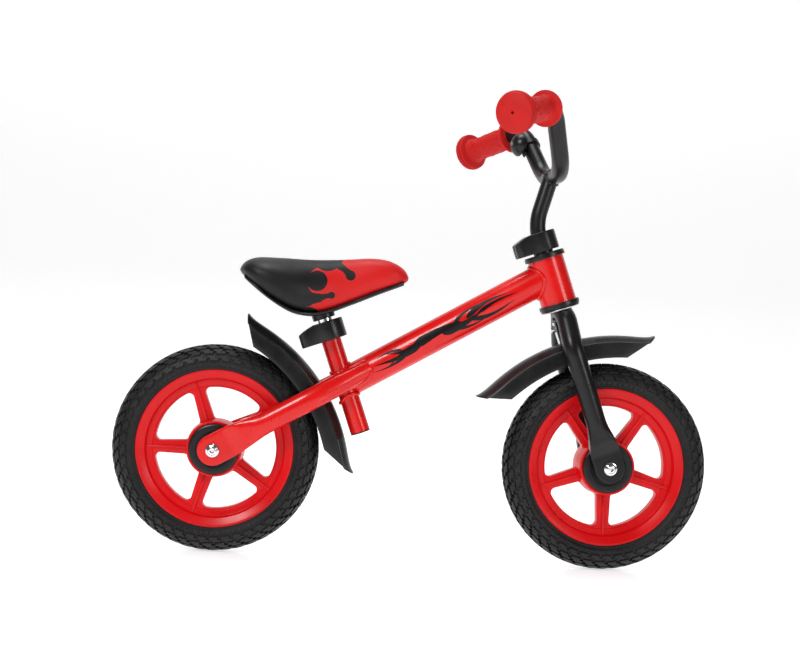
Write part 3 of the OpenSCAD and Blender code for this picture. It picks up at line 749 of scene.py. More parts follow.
def tyre(name, body, axle, node, turn=STRAIGHT):
    """A foam tyre: a rounded carcass, staggered tread blocks, shoulder sipes, a bead ring."""
    pitch = 2 * pi * TYRE_R / BLOCKS
    bm = bmesh.new()
    # Each row's two edges over the crown, its start in pitches, gap, step and height.
    rows = ((-6.0, 6.0, 0.0, 6.4, 2.6, 3.9), (9.2, 17.6, 0.5, 6.2, 2.8, 3.7),
            (20.8, 29.0, 0.05, 6.2, 2.6, 3.5), (32.2, 40.6, 0.55, 6.6, 2.2, 2.6))
    for low, high, start, gap, step, lift in rows:
        for side in (-1, 1) if low > 0 else (1,):
            ends = sorted((low * side, high * side))
            tread_block(bm, start * pitch, pitch - gap, *ends, step * side, lift)
    for side in (-1, 1):
        for shift in (2.5, 13.0):
            rib = bmesh.ops.create_cube(bm, size=1)["verts"]
            lean = Matrix.Rotation(radians(24), 4, "Z")
            put = Matrix.Translation((117.2, shift * 0.8, side * 24.9)) @ lean
            bmesh.ops.transform(bm, matrix=put @ Matrix.Diagonal((5.4, 0.8, 1.4, 1)), verts=rib)
    bmesh.ops.spin(
        bm, geom=bm.verts[:] + bm.edges[:] + bm.faces[:], cent=(0, 0, 0), axis=(0, 0, 1),
        dvec=(0, 0, 0), angle=2 * pi * (BLOCKS - 1) / BLOCKS, steps=BLOCKS - 1,
        use_duplicate=True,
    )
    half = [(107, 0, 0), (107, 19.6, 0.5), (110.4, 20.4, 0.6), (111.2, 22.2, 0.6),
            (112.4, 22.3, 0.5), (113.4, 21.6, 0.8), (117, 24.9, 6), (127, 25.2, 6),
            (134.4, 20.2, 9), (141.0, 8.6, 14), (141.2, 0, 0)]
    lathe(bm, rounded(mirrored(half)[:-1], step=10), steps=160)
    place = Matrix.Translation(axle) @ ACROSS
    finished(bm, name, body, "foam", [node], turn @ place, sharp=38)


WINDOW_OUT, WINDOW_IN, SPOKES, FILLET = 85.0, 40.0, 5, 7.0


def window(grow, count=10):
    """A rim window's outline between two spokes, moved outwards by grow, about +X."""
    outer, inner, fillet = WINDOW_OUT + grow, WINDOW_IN - grow, FILLET + grow
    taper = atan2(1.75, 45)
    lean = pi / SPOKES + taper
    along = Vector((cos(lean), sin(lean)))
    inward = Vector((along.y, -along.x))
    gap = 11.55 - grow
    points = []
    far = inward * (gap + fillet) + along * sqrt((outer - fillet) ** 2 - (gap + fillet) ** 2)
    near = inward * (gap + fillet) + along * sqrt((inner + fillet) ** 2 - (gap + fillet) ** 2)
    for centre, start, end in (
        (far, far, -inward), (near, -inward, -near),
    ):
        a, b = atan2(start.y, start.x), atan2(end.y, end.x)
        sweep = (b - a + pi) % (2 * pi) - pi
        points += [centre + arc_turn(start.normalized() * fillet, sweep * k / count)
                   for k in range(count + 1)]
    first, last = points[0], points[-1]
    span = atan2(first.y, first.x)
    arc = [Vector((outer * cos(t), outer * sin(t)))
           for t in (-span + 2 * span * k / 16 for k in range(1, 16))]
    span_in = atan2(last.y, last.x)
    hub = [Vector((inner * cos(t), inner * sin(t)))
           for t in (span_in - 2 * span_in * k / 8 for k in range(1, 8))]
    other = [Vector((p.x, -p.y)) for p in reversed(points)]
    return arc + points + hub + other


def rim(name, body, axle, nodes, first_spoke, turn=STRAIGHT):
    """A moulded rim: lipped ring, five filleted windows, ribbed spokes and a hub."""
    bm = bmesh.new()
    thick, edge = 8.0, 1.4
    in_hub, in_ring = 20, 92
    loops = []
    for k in range(SPOKES):
        at = first_spoke + 2 * pi * (k + 0.5) / SPOKES
        rings = []
        for j in range(5):
            a = pi / 2 * j / 4
            rings.append((edge * (1 - sin(a)), thick - edge * (1 - cos(a))))
        rings += [(grow, -z) for grow, z in reversed(rings)]
        placed = [
            [Vector((*arc_turn(p, at), z)) for p in window(grow)] for grow, z in rings
        ]
        first, last = skin(bm, placed, caps=False)
        loops.append((first, last))
    for side, z in ((0, thick), (1, -thick)):
        edges = []
        for pair in loops:
            ring = pair[side]
            edges += [bm.edges.get(p) for p in zip(ring, ring[1:] + ring[:1])]
        for r in (in_hub, in_ring):
            made = list(bmesh.ops.create_circle(
                bm, segments=120, radius=r, matrix=Matrix.Translation((0, 0, z)))["verts"])
            edges += [bm.edges.get(p) for p in zip(made, made[1:] + made[:1])]
        bmesh.ops.triangle_fill(bm, use_beauty=True, use_dissolve=False, edges=edges)
    half = [(87.5, 0, 0), (87.5, 9.4, 1.2), (95.6, 10.2, 1.2), (97.6, 15.6, 1.4),
            (107.2, 20.6, 1.2), (110.2, 20.7, 0.8), (110.2, 17.5, 0), (108.6, 0, 0)]
    lathe(bm, rounded(mirrored(half)[:-1], step=14), steps=144)
    hub = [(14, 0, 0), (14, 25.4, 0.5), (35.4, 25.4, 0.3), (35.8, 26.6, 0.4), (38.6, 26.2, 1.2),
           (40.8, 6, 0)]
    lathe(bm, rounded(mirrored(hub), step=14), steps=96)
    for k in range(SPOKES):
        at = Matrix.Rotation(first_spoke + 2 * pi * k / SPOKES, 4, "Z")
        bar = bmesh.ops.create_cube(bm, size=1)["verts"]
        size = Matrix.Diagonal((62, 3.6, 22.4, 1))
        bmesh.ops.transform(bm, matrix=at @ Matrix.Translation((66.5, 0, 0)) @ size, verts=bar)
        edges = {e for v in bar for e in v.link_edges}
        bmesh.ops.bevel(bm, geom=list(edges), offset=1.1, segments=3, profile=0.5,
                        affect="EDGES", material=-1)
    place = Matrix.Translation(axle) @ ACROSS
    finished(bm, name, body, "rim", nodes, turn @ place, sharp=30)


def hub_caps(name, body, axle, node, turn=STRAIGHT):
    """Black discs that close the hub on both sides."""
    bm = bmesh.new()
    outline = rounded([(8.5, 26, 0), (34.6, 26, 0.2), (34.6, 29.2, 0.9), (32.4, 30.3, 0.8),
                       (25, 30.3, 0.4), (24.2, 29.6, 0.4), (14, 29.6, 0.4), (12.8, 30.3, 0.4),
                       (8.5, 30.3, 0.4)], step=15)
    lathe(bm, outline, steps=96)
    lathe(bm, [(r, -z) for r, z in outline], steps=96)
    place = Matrix.Translation(axle) @ ACROSS
    finished(bm, name, body, "moulded", [node], turn @ place)


def bolt_head(bm, face, outward):
    """A flanged, domed head with a hexagon socket, standing out of a face along Z."""
    shape = [(9.3, 0.0), (9.3, 1.1), (8.7, 1.7), (7.2, 2.0), (6.6, 2.5), (6.1, 3.4), (5.2, 4.1),
             (4.0, 4.5), (3.3, 4.5)]
    rings = [circle(r, face + outward * h) for r, h in shape]
    rings.append(circle(2.9, face + outward * 4.3, corners=6))
    rings.append(circle(2.8, face + outward * 1.4, corners=6))
    skin(bm, rings)


def axle(name_bolt, name_nut, body, at, half, nodes, turn=STRAIGHT):
    """The bolt through the wheel with its head on the right, and the nut on the left."""
    place = turn @ Matrix.Translation(at) @ ACROSS
    bm = bmesh.new()
    bolt_head(bm, -half, -1)
    skin(bm, [circle(5, -half + 0.5), circle(5, half + 3.0)])
    finished(bm, name_bolt, body, "chrome", nodes[:1], place)
    bm = bmesh.new()
    rings = [circle(9.3, half), circle(9.3, half + 1.2), circle(8.6, half + 1.8)]
    rings += [circle(8.0, half + 1.9, corners=6), circle(8.0, half + 5.2, corners=6),
              circle(6.6, half + 6.0), circle(5.4, half + 6.0), circle(5.2, half + 3.4)]
    skin(bm, rings)
    finished(bm, name_nut, body, "chrome", nodes[1:], place)


def wheel(end, body, axle_at, spoke_angle, turn=STRAIGHT):
    """Everything of one wheel that shows."""
    tyre(end + "_foam_tyre", body, axle_at, end + "_tyre", turn)
    moulding = [end + part for part in ("_rim", "_spokes", "_hub")]
    rim(end + "_spoked_rim", body, axle_at, moulding, -spoke_angle, turn)
    hub_caps(end + "_hub_discs", body, axle_at, end + "_hub_caps", turn)


wheel("rear", "rear_wheel", REAR_AXLE, radians(37))
wheel("front", "front_wheel", FRONT_AXLE, radians(55), TURNED)
axle("rear_bolt", "rear_nut", "frame", REAR_AXLE, 46.5, ["rear_axle_bolt", "rear_axle_nut"])
axle("front_bolt", "front_nut", "fork", FRONT_AXLE, 45.5, ["front_axle_bolt", "front_axle_nut"],
     TURNED)


# ---------------------------------------------------------------- flattened tubes

def blend_in(t, low, high):
    """0 below low, 1 above high, eased between."""
    t = min(1, max(0, (t - low) / (high - low)))
    return t * t * (3 - 2 * t)


def section(place, wide_way, thick_way, wide, thick, power, count=56):
    """A ring between an ellipse (power 2) and a rounded rectangle (higher powers)."""
    ring = []
    for i in range(count):
        a = 2 * pi * i / count
        c, s = cos(a), sin(a)
        x = copysign(abs(c) ** (2 / power), c) * wide
        y = copysign(abs(s) ** (2 / power), s) * thick
        ring.append(place + wide_way * x + thick_way * y)
    return ring


def flat_end(t, end_r, plate, tube_wide, tube_thick, fold, flare):
    """Half sizes and squareness of a tube that is flattened round a bolt at t = 0."""
    swell_out = min(1, max(0, (t - fold) / (flare * 0.28)))
    ease = 0.62 * swell_out + 0.38 * blend_in(t, fold + flare * 0.28, fold + flare)
    wide = end_r + (tube_wide - end_r) * blend_in(t, fold - 6, fold + flare)
    if t < 0:
        wide = sqrt(max(end_r ** 2 - t ** 2, 0.2))
    thick = plate / 2 + (tube_thick - plate / 2) * ease
    return wide, thick, 7 - 5 * blend_in(t, fold, fold + flare * 0.8)


def marks(low, high, step):
    """Evenly spaced numbers from low to high."""
    count = ceil((high - low) / step)
    return [low + (high - low) * k / count for k in range(count + 1)]


MAIN_R, HEAD_R, SEAT_R = 22.0, 25.5, 14.0
MAIN_SLOPE = radians(30.7)
MAIN_AT = Vector((0, 0, 301.4))
MAIN_WAY = Vector((cos(MAIN_SLOPE), 0, sin(MAIN_SLOPE)))
STAY_SLOPE = radians(30.3)
STAY_Y, PLATE = 44.5, 4.6


def stay_stops():
    """The left stay's line: straight from the axle, then in towards the main tube."""
    forward = Vector((cos(STAY_SLOPE), 0, sin(STAY_SLOPE)))
    base = REAR_AXLE + LEFT * (STAY_Y - 1.2)
    dive = (forward * 88 - LEFT * 31).normalized()
    corner = base + forward * 156
    end = corner + dive * 92
    stops = [(base + forward * t, forward, t) for t in marks(-21.4, -15, 0.8)]
    stops += [(base + forward * t, forward, t) for t in marks(-14, 110, 4)]
    gone = 110
    last = stops[-1][0]
    for place, along in route([last, corner, end], [120], 2)[1:]:
        step = (place - last).length
        for k in range(1, ceil(step / 6) + 1):
            part = last.lerp(place, k / ceil(step / 6))
            stops.append((part, along, gone + step * k / ceil(step / 6)))
        gone += step
        last = place
    return stops, gone


def stay_rings():
    """The left stay's sections, from its flat end to its squeezed end in the main tube."""
    stops, whole = stay_stops()
    rings = []
    for place, along, t in stops:
        wide, thick, power = flat_end(t, 21.5, PLATE, 15.2, 12.0, 26, 62)
        squeeze = 1 - 0.16 * blend_in(t, whole - 60, whole)
        up = LEFT.cross(along).normalized() * -1
        side = along.cross(up).normalized()
        rings.append(section(place, up, side, wide * squeeze, thick * squeeze, power))
    return rings


def both_hands(bm):
    """Adds the same shape on the other side of the bike."""
    geom = bm.verts[:] + bm.edges[:] + bm.faces[:]
    made = bmesh.ops.duplicate(bm, geom=geom)["geom"]
    verts = [v for v in made if isinstance(v, bmesh.types.BMVert)]
    bmesh.ops.transform(bm, matrix=Matrix.Diagonal((1, -1, 1, 1)), verts=verts)


def stays():
    """The left and the right stay."""
    for name, hand, node in (("stay_left", 1, "left_stay"), ("stay_right", -1, "right_stay")):
        bm = bmesh.new()
        rings = [[Vector((p.x, p.y * hand, p.z)) for p in ring] for ring in stay_rings()]
        skin(bm, rings)
        finished(bm, name, "frame", "red", [node], sharp=24)


def main_tube():
    """The big tube, with a closed round tail behind the seat tube."""
    bm = bmesh.new()
    tail = [(MAIN_R * sin(a), -98 - 12 * cos(a)) for a in marks(0.02, pi / 2, 0.2)]
    outline = tail + [(MAIN_R, 212), (4, 212)]
    lathe(bm, outline, steps=80, closed=False)
    lean = Matrix.Rotation(pi / 2 - MAIN_SLOPE, 4, "Y")
    finished(bm, "main_tube_skin", "frame", "red", ["main_tube"],
             Matrix.Translation(MAIN_AT) @ lean, sharp=40)


def weld_lines():
    """Where the welds run: main tube to head tube, seat tube to main tube, stays to main tube."""
    lines = []
    up = MAIN_WAY.cross(LEFT) * -1
    head_at = HEAD.translation
    ring = []
    for k in range(90):
        a = 2 * pi * k / 90
        rail = MAIN_AT + (LEFT * cos(a) + up * sin(a)) * (MAIN_R + 0.4)
        reach = found(lambda t: off_line(rail + MAIN_WAY * t, head_at, HEAD_UP) < HEAD_R, 120, 214)
        ring.append(rail + MAIN_WAY * reach)
    lines.append(ring)
    seat_at = SEAT.translation
    fore = SEAT.to_3x3() @ Vector((1, 0, 0))
    for start, end in ((0, -62), (-125, -62)):
        ring = []
        for k in range(60):
            a = 2 * pi * k / 60
            rail = seat_at + (LEFT * cos(a) + fore * sin(a)) * (SEAT_R + 0.3)
            way_in = copysign(1, end - start)
            reach = found(
                lambda t: off_line(rail + SEAT_UP * (start + way_in * t), MAIN_AT, MAIN_WAY) < MAIN_R,
                0, 64)
            ring.append(rail + SEAT_UP * (start + way_in * reach))
        lines.append(ring)
    rings = stay_rings()
    for hand in (1, -1):
        ring = []
        for k in range(len(rings[0])):
            for i in range(len(rings) - 1):
                p, q = rings[i][k], rings[i + 1][k]
                if off_line(q, MAIN_AT, MAIN_WAY) < MAIN_R and q.x > -140:
                    part = found(lambda t: off_line(p.lerp(q, t), MAIN_AT, MAIN_WAY) < MAIN_R, 0, 1)
                    at = p.lerp(q, part)
                    ring.append(Vector((at.x, at.y * hand, at.z)))
                    break
        lines.append(ring)
    return lines


def welds():
    """One weld per line, painted over with the frame."""
    sizes = (2.9, 2.6, 2.6, 2.4, 2.4)
    for k, (line, size) in enumerate(zip(weld_lines(), sizes)):
        bm = bmesh.new()
        bead(bm, even(line, 1.1), size)
        finished(bm, f"frame_weld_{k + 1}", "frame", "red", sharp=60)


stays()
main_tube()
welds()


# ---------------------------------------------------------------- fork

BLADE_R, BLADE_Y, BLADE_BACK = 14.0, 43.5, 7.3


def blade_rings():
    """The left blade in the head frame, from the axle up and in to the steerer."""
    bottom = HEAD.inverted() @ FRONT_AXLE
    low = Vector((bottom.x, BLADE_Y - 1.2, bottom.z))
    up = Vector((0, 0, 1))
    corners = [low + up * 70, Vector((-BLADE_BACK, BLADE_Y, -66)), Vector((0, 21.5, -25)),
               Vector((0, 5, -14))]
    stops = [(low + up * t, up, t) for t in marks(-20.9, -15, 0.8)]
    stops += [(low + up * t, up, t) for t in marks(-14, 66, 4)]
    stops += [(place, along, 90) for place, along in route(corners, [50, 24], 4)]
    rings = []
    for place, along, t in stops:
        wide, thick, power = flat_end(t, 21.0, PLATE, BLADE_R, BLADE_R, 24, 46)
        fore = (Vector((1, 0, 0)) - along * along.x).normalized()
        rings.append(section(place, fore, along.cross(fore), wide, thick, power))
    return rings


def fork():
    """Two blades, the weld that joins them to the steerer, and the race on the crown."""
    place = TURNED @ HEAD
    rings = blade_rings()
    for name, hand, node in (("blade_left", 1, "left_blade"), ("blade_right", -1, "right_blade")):
        bm = bmesh.new()
        skin(bm, [[Vector((p.x, p.y * hand, p.z)) for p in ring] for ring in rings])
        finished(bm, name, "fork", "black", [node], place, sharp=24)
    bm = bmesh.new()
    ring = [Vector((14.4 * cos(a), 14.4 * sin(a), -21 - 6 * sin(a) ** 2))
            for a in marks(0, 2 * pi, 0.08)[:-1]]
    bead(bm, even(ring, 1.1), 2.4)
    finished(bm, "crown_weld", "fork", "black", place=place, sharp=60)
    bm = bmesh.new()
    lathe(bm, rounded([(10.5, -48, 0.4), (14, -48, 0.8), (14, 88, 0.4), (11.3, 88, 0.3)]), 64)
    finished(bm, "steerer", "fork", "black", ["steerer_tube"], place)
    bm = bmesh.new()
    lathe(bm, rounded([(13, -11, 0.3), (27.6, -11, 0.6), (28.2, -9.6, 0.6), (27.2, -8.9, 0.4),
                       (13, -8.9, 0.3)]), 96)
    finished(bm, "crown_race", "fork", "zinc", ["crown_washer"], place)


def headset():
    """Two black cups with soft edges and a groove."""
    for name, node, base, hand in (("cup_upper", "upper_headset_cup", 64, 1),
                                   ("cup_lower", "lower_headset_cup", -1, -1)):
        bm = bmesh.new()
        outline = [(14.2, 0, 0), (28.9, 0, 0.8), (28.9, 5.4, 0.5), (28.0, 6.0, 0.3), (28.0, 6.6, 0.3),
                   (28.6, 7.4, 0.5), (24, 7.5, 0.5), (14.2, 7.5, 0.3)]
        points = rounded(outline)
        lathe(bm, [(p.x, base + hand * p.y) for p in points], 96)
        finished(bm, name, "frame", "moulded", [node], HEAD)


def clamp(name, body, lever_body, nodes, place):
    """A lever clamp: split collar with two ears, and a lever that wraps its right side."""
    height = 27.0

    def top(p):
        """The upper face's height, falling away towards the ears."""
        back = max(0, -17 - p.x)
        return height - back * back * 0.006 - back * 0.2

    outline = [Vector((24 * cos(a), 24 * sin(a))) for a in marks(radians(-157), radians(157), 0.13)]
    outline += [Vector(p) for p in ((-25, 8.4), (-36, 8.4), (-39.4, 6), (-40, 3), (-40, -3),
                                    (-39.4, -6), (-36, -8.4), (-25, -8.4))]
    bm = bmesh.new()
    slab(bm, outline, 0, top, 1.4)
    finished(bm, name + "_band", body, "moulded", nodes[:1], place, sharp=42)
    lever = [Vector(p) for p in ((-27, -29.7), (-22, -29.3), (-17, -29.2), (-12, -29.6))]
    lever += [Vector((31.6 * cos(a), 31.6 * sin(a)))
              for a in marks(radians(-102), radians(-82), 0.08)]
    lever += [Vector((4.2, -29)), Vector((3.6, -26))]
    lever += [Vector((25.2 * cos(a), 25.2 * sin(a)))
              for a in reversed(marks(radians(-146), radians(-84), 0.08))]
    lever += [Vector((-31 + 10 * cos(a), -20 + 10 * sin(a)))
              for a in marks(radians(84), radians(266), 0.14)]
    bm = bmesh.new()
    slab(bm, lever, 0.2, lambda p: top(p) + 0.1, 1.3)
    finished(bm, name + "_lever", lever_body, "moulded", nodes[1:], place, sharp=42)


fork()
headset()
clamp("seat_clamp", "frame", "seat_lever", ["seat_clamp_collar", "seat_clamp_lever"],
      SEAT @ Matrix.Translation((0, 0, 2)))
clamp("stem_clamp", "fork", "stem_lever", ["stem_clamp_collar", "stem_clamp_lever"],
      TURNED @ HEAD @ Matrix.Translation((0, 0, 74.5)))


# ---------------------------------------------------------------- handlebar

BAR_R, STEM_R = 12.0, 11.1
GRIP_IN, GRIP_OUT = Vector((141, 140.2, 621.9)), Vector((90.1, 210, 603.3))
GRIP_WAY = (GRIP_OUT - GRIP_IN).normalized()


def handlebar():
    """The bow, the bent stem under it, and the weld that joins them."""
    corner = Vector((182.5, 58, 549))
    shoulder = Vector((156.3, 119.2, 627.5))
    tip = GRIP_OUT - GRIP_WAY * 3
    line = [corner, shoulder, tip]
    other = [Vector((p.x, -p.y, p.z)) for p in reversed(line)]
    bm = bmesh.new()
    tube(bm, route(other + line, [38, 60, 60, 38], 4), BAR_R)
    finished(bm, "bow", "bars", "black", ["handlebar"], TURNED, sharp=50)
    up = HEAD_UP
    lean = radians(15.5)
    head_lean = asin(-up.x)
    top_way = Vector((sin(lean), 0, cos(lean)))
    bend = HEAD.translation + up * (90 + 70 * tan((lean + head_lean) / 2))
    bm = bmesh.new()
    tube(bm, route([HEAD.translation + up * 16, bend, bend + top_way * 73], [70], 3), STEM_R)
    finished(bm, "bent_stem", "bars", "black", ["stem"], TURNED, sharp=50)
    ring = []
    bar_at = Vector((corner.x, 0, corner.z))
    fore = LEFT.cross(top_way)
    for k in range(48):
        a = 2 * pi * k / 48
        rail = bend + (LEFT * cos(a) + fore * sin(a)) * (STEM_R + 0.2)
        reach = found(lambda t: off_line(rail + top_way * t, bar_at, LEFT) < BAR_R, 30, 73)
        ring.append(rail + top_way * reach)
    bm = bmesh.new()
    bead(bm, even(ring, 1.0), 2.3)
    finished(bm, "stem_weld", "bars", "black", place=TURNED, sharp=60)


def grip(name, node, hand):
    """A rubber grip: inner flange, waisted body with rows of dots, domed end with a hole."""
    bm = bmesh.new()
    outline = [(12.1, -1, 0), (24.3, -1, 1.6), (24.3, 3.2, 1.4), (18.6, 4.4, 2.0), (16.6, 9, 3),
               (17.4, 34, 30), (16.6, 70, 12), (18.5, 78.4, 3), (26.4, 81.2, 1.2), (27.3, 84, 0.9),
               (25.6, 84.9, 0.4), (25.6, 86, 0.4), (27.5, 86.9, 0.9), (27.3, 89.8, 0.9),
               (25.2, 90.5, 0.4), (25.2, 91.5, 0.4), (26.4, 92.3, 0.8), (25.2, 94.4, 1.4),
               (16, 97.2, 14), (1.9, 98.2, 0.4), (1.7, 90, 0)]
    points = [(p.x, p.y) for p in rounded(outline, closed=False)]
    lathe(bm, points, 96, closed=False)
    body_r = 17.2
    rows, around = 6, 8
    for row in range(rows):
        for k in range(around):
            a = 2 * pi * (k + 0.5 * (row % 2)) / around
            turn = Matrix.Rotation(a, 4, "Z") @ Matrix.Translation((body_r - 0.5, 0, 17 + row * 10))
            dot = bmesh.ops.create_circle(bm, cap_ends=True, segments=14, radius=3.1,
                                          matrix=turn @ Matrix.Rotation(pi / 2, 4, "Y"))["verts"]
            face = next(f for f in dot[0].link_faces if len(f.verts) == 14)
            made = bmesh.ops.extrude_face_region(bm, geom=[face])["geom"]
            lid = [v for v in made if isinstance(v, bmesh.types.BMVert)]
            out = (Matrix.Rotation(a, 3, "Z") @ Vector((1, 0, 0))) * 0.9
            bmesh.ops.translate(bm, vec=out, verts=lid)
            middle = sum((v.co for v in lid), Vector()) / len(lid)
            bmesh.ops.scale(bm, vec=(0.8, 0.8, 0.8), space=Matrix.Translation(-middle), verts=lid)
    start = Vector((GRIP_IN.x, GRIP_IN.y * hand, GRIP_IN.z))
    along = Vector((GRIP_WAY.x, GRIP_WAY.y * hand, GRIP_WAY.z))
    turn = along.to_track_quat("Z", "Y").to_matrix().to_4x4()
    finished(bm, name, "bars", "grip", [node], TURNED @ Matrix.Translation(start) @ turn, sharp=40)


handlebar()
grip("grip_left", "left_grip", 1)
grip("grip_right", "right_grip", -1)


# ---------------------------------------------------------------- mudguards

FENDER_R, FENDER_SWEEP = 254.0, radians(31.1)
FENDER_SECTION = [(0, 0), (0.3, 6), (1.0, 9.6), (2.6, 13.5), (5.4, 18.6), (8.2, 23.0), (9.4, 25.2),
                  (9.6, 26.6), (10.8, 27.5), (12.8, 27.4), (18, 28.4), (25, 29.2), (31, 29.5)]


def fender_rings():
    """Rings from tip to tip. The skirts end before the crown does, less so at the first tip."""
    first_cut, last_cut = radians(7), radians(9.5)
    half = FENDER_SECTION
    full = [(d, -y) for d, y in reversed(half[1:])] + half
    deepest = half[-1][0]
    rings = []
    for part in marks(-1, 1, 1 / 32):
        ring = []
        for depth, y in full:
            share = 0.45 * depth / deepest + 0.55 * (depth / deepest) ** 1.8
            cut = first_cut if part < 0 else last_cut
            a = part * (FENDER_SWEEP - cut * share)
            flick = 6.0 * abs(part) ** 14 * (1 - share)
            r = FENDER_R - depth + flick
            squeeze = 1 - 0.1 * abs(part) ** 10
            ring.append(Vector((r * cos(a), y * squeeze, r * sin(a))))
        rings.append(ring)
    return rings


def fender(name, body, node, centre, mid, turn=STRAIGHT):
    """A moulded mudguard about its arc's centre, with its middle at an angle from ahead."""
    bm = bmesh.new()
    skin(bm, [[Vector((p.x, p.y, -p.z)) for p in ring] for ring in fender_rings()], closed=False)
    bmesh.ops.recalc_face_normals(bm, faces=bm.faces)
    bmesh.ops.solidify(bm, geom=bm.faces[:], thickness=2.0)
    edges = [e for e in bm.edges if len(e.link_faces) == 2 and e.calc_face_angle(0) > 1.0]
    bmesh.ops.bevel(bm, geom=edges, offset=0.5, segments=2, profile=0.5, affect="EDGES",
                    material=-1)
    place = Matrix.Translation(centre) @ Matrix.Rotation(-mid, 4, "Y")
    finished(bm, name, body, "moulded", [node], turn @ place, sharp=28, merge=0.01)


fender("mudguard_rear", "frame", "rear_fender", Vector((-337.2, 0, 96)), radians(36))
fender("mudguard_front", "fork", "front_fender", Vector((292, 0, 76.4)), radians(111), TURNED)


def fender_fixings():
    """The bolt through the crown and its nut."""
    place = TURNED @ HEAD @ Matrix.Translation((0, 0, -34.7)) @ Matrix.Rotation(pi / 2, 4, "Y")
    bm = bmesh.new()
    rings = [circle(3, -22), circle(3, 14.2), circle(5.6, 14.2), circle(5.8, 14.9),
             circle(5.2, 16.0), circle(3.6, 16.9), circle(1.2, 17.3)]
    skin(bm, rings)
    finished(bm, "crown_bolt", "fork", "chrome", ["front_fender_bolt"], place)
    bm = bmesh.new()
    rings = [circle(5.3, -16.4, corners=6), circle(5.3, -20.8, corners=6), circle(4.5, -21.6),
             circle(3.2, -21.6), circle(3.1, -20)]
    skin(bm, rings)
    finished(bm, "crown_nut", "fork", "chrome", ["front_fender_nut"], place)


fender_fixings()


# ---------------------------------------------------------------- saddle

def eased(points, x):
    """A smooth height through a few (x, height) points."""
    for i in range(len(points) - 1):
        if x <= points[i + 1][0] or i == len(points) - 2:
            break
    (x0, y0), (x1, y1) = points[i], points[i + 1]
    before = points[max(i - 1, 0)]
    after = points[min(i + 2, len(points) - 1)]
    slope0 = (y1 - before[1]) / (x1 - before[0])
    slope1 = (after[1] - y0) / (after[0] - x0)
    t = min(1, max(0, (x - x0) / (x1 - x0)))
    run = x1 - x0
    return ((2 * t ** 3 - 3 * t ** 2 + 1) * y0 + (t ** 3 - 2 * t ** 2 + t) * run * slope0
            + (3 * t ** 2 - 2 * t ** 3) * y1 + (t ** 3 - t ** 2) * run * slope1)


TAIL, SADDLE_LEN = pad_low.x / MM, 242.0
# Top edge, bottom edge and half width, each by its distance from the tail.
CROWN = [(3, 399), (8, 408), (22, 415.5), (50, 414.5), (95, 411.3), (140, 414.5), (170, 419.5),
         (192, 422.5), (208, 421.5), (222, 417), (233, 410), (240, 402), (243, 396)]
BELLY = [(3, 391), (24, 374), (47, 357), (68, 344.5), (82, 338.5), (97, 336), (112, 336.5),
         (136, 343.5), (160, 353.5), (202, 372), (235, 386), (243, 390)]
WIDTH = [(0, 14), (4, 34), (12, 48), (28, 60), (52, 64), (84, 58), (115, 45), (150, 35.5),
         (190, 32.5), (218, 29), (232, 22.5), (239, 16), (243, 8)]


def saddle_pad():
    """A crowned pad that swells a little, with its skirt drawn in to the base."""
    bm = bmesh.new()
    rings = []
    inset = 1.6
    for x in marks(1.5, SADDLE_LEN + 0.5, 5):
        top, low, half = eased(CROWN, x) - inset, eased(BELLY, x) + inset, eased(WIDTH, x) - inset
        mid = low + (top - low) * 0.42
        ring = []
        for k in range(44):
            a = 2 * pi * k / 44
            c, s = cos(a), sin(a)
            y = copysign(abs(c) ** 0.78, c) * half
            if s > 0:
                z = mid + (top - mid) * abs(s) ** 0.85
            else:
                z = mid + (low - mid) * abs(s) ** 0.42
                y *= 1 - 0.08 * abs(s)
            ring.append(Vector((TAIL + x, y, z)))
        rings.append(ring)
    skin(bm, rings)
    pad = finished(bm, "saddle_cushion", "saddle", "saddle", ["saddle_pad"], sharp=180)
    remesh = pad.modifiers.new("even", "REMESH")
    remesh.mode = "VOXEL"
    remesh.voxel_size = 0.0045
    remesh.use_smooth_shade = True
    apply(pad)
    swell(pad, 0.005)
    smooth = pad.modifiers.new("calm", "CORRECTIVE_SMOOTH")
    smooth.iterations = 12
    smooth.use_only_smooth = True
    finer = pad.modifiers.new("finer", "SUBSURF")
    finer.levels = finer.render_levels = 1
    apply(pad)
    for face in pad.data.polygons:
        face.use_smooth = True


def apply(obj):
    """Bakes an object's modifiers into its mesh."""
    graph = bpy.context.evaluated_depsgraph_get()
    mesh = bpy.data.meshes.new_from_object(obj.evaluated_get(graph))
    obj.modifiers.clear()
    old = obj.data
    obj.data = mesh
    mesh.name = old.name
    bpy.data.meshes.remove(old)


def swell(obj, most):
    """Blows a pad up a little over the tray that holds its underside, none further than most."""
    start = [v.co.copy() for v in obj.data.vertices]
    cloth = obj.modifiers.new("swell", "CLOTH")
    cloth.settings.use_pressure = True
    cloth.settings.uniform_pressure_force = 4
    cloth.settings.effector_weights.gravity = 0
    cloth.settings.quality = 5
    cloth.point_cache.frame_end = 20
    scene = bpy.context.scene
    for step in range(1, 21):
        scene.frame_set(step)
    apply(obj)
    scene.frame_set(1)
    for vert, old in zip(obj.data.vertices, start):
        moved = vert.co - old
        moved.z = max(moved.z, 0)
        if moved.length > most:
            moved = moved.normalized() * most
        vert.co = old + moved


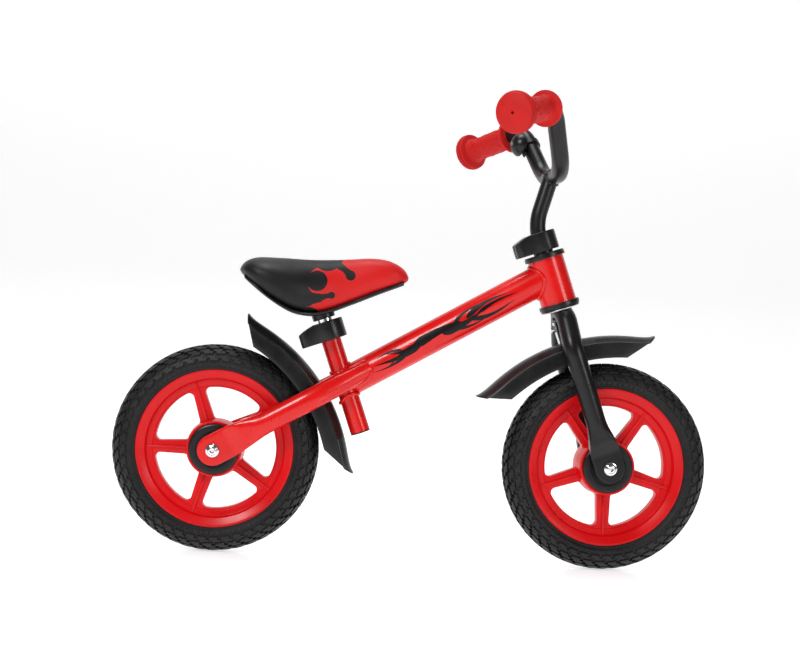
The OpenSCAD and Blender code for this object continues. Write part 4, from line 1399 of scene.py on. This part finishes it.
def saddle_base():
    """The black tray that the pad sits in, and the post's socket under it."""
    bm = bmesh.new()
    rings = []
    for x in marks(12, SADDLE_LEN - 9, 5):
        low, half = eased(BELLY, x) - 0.4, (eased(WIDTH, x) - 1.5) * 0.84
        ring = []
        for k in range(32):
            a = 2 * pi * k / 32
            c, s = cos(a), sin(a)
            ring.append(Vector((TAIL + x, copysign(abs(c) ** 0.5, c) * half,
                                low + 3.4 + 3.4 * copysign(abs(s) ** 0.5, s))))
        rings.append(ring)
    skin(bm, rings)
    finished(bm, "saddle_tray", "saddle", "moulded", ["saddle_base", "saddle_bracket", "saddle_screws"],
             sharp=45)
    bm = bmesh.new()
    rings = [circle(11.3, 33), circle(15.2, 33), circle(16, 34), circle(16.6, 48), circle(12, 50)]
    skin(bm, rings)
    finished(bm, "saddle_socket", "saddle", "moulded", place=SEAT)


saddle_pad()
saddle_base()


# ---------------------------------------------------------------- printed flames on the main tube

def lick(bm, start, end, bow, width, keen=1.0, lift=0.12):
    """A tapering curved flame on the right of the tube, from start to end, both (along, up)."""
    start, end = Vector(start), Vector(end)
    run = end - start
    square = Vector((-run.y, run.x)).normalized()
    rows = []
    for t in marks(0, 1, 1 / 28):
        centre = start + run * t + square * bow * sin(pi * t) * (1 - 0.3 * t)
        ahead = run.normalized() + square * bow / run.length * pi * cos(pi * t)
        across = Vector((-ahead.y, ahead.x)).normalized()
        half = width / 2 * min(1, (t / 0.18) ** 0.5 if t < 0.18 else 1) * (1 - t) ** keen + 0.05
        rows.append([centre + across * half * s for s in (-1, -0.5, 0, 0.5, 1)])
    rings = []
    for row in rows:
        ring = []
        for p in row:
            a = p.y / MAIN_R
            r = MAIN_R + lift
            up = Vector((-MAIN_WAY.z, 0, MAIN_WAY.x))
            ring.append(MAIN_AT + MAIN_WAY * p.x + (-LEFT * cos(a) + up * sin(a)) * r)
        rings.append(ring)
    skin(bm, rings, closed=False)


def flames():
    """Own flame motif: a dark core between two fans of licks, the same on both sides."""
    bm = bmesh.new()
    licks = [
        ((8, 0), (-66, 3), 5, 12, 1.0), ((2, 3), (-46, 12), 6, 8, 1.1),
        ((0, -3), (-50, -9), -6, 8, 1.1), ((-20, 5), (-60, 10), -4, 5, 0.9),
        ((-16, -4), (-70, -5), 4, 5, 0.9),
        ((-4, 1), (72, 2), 3, 15, 0.55), ((40, -1), (104, 1), -4, 13, 0.7),
        ((80, 2), (148, 7), 6, 9, 0.9), ((84, -2), (152, -6), -7, 8, 0.9),
        ((96, 0), (160, 1), 4, 6, 0.8), ((60, 3), (112, 11), 5, 6, 1.0),
        ((58, -3), (108, -10), -5, 6, 1.0),
    ]
    for k, (start, end, bow, width, keen) in enumerate(licks):
        lick(bm, start, end, bow, width, keen, 0.10 + 0.012 * k)
    both_hands(bm)
    finished(bm, "printed_flames", "frame", "print", sharp=60, merge=0.001)


flames()
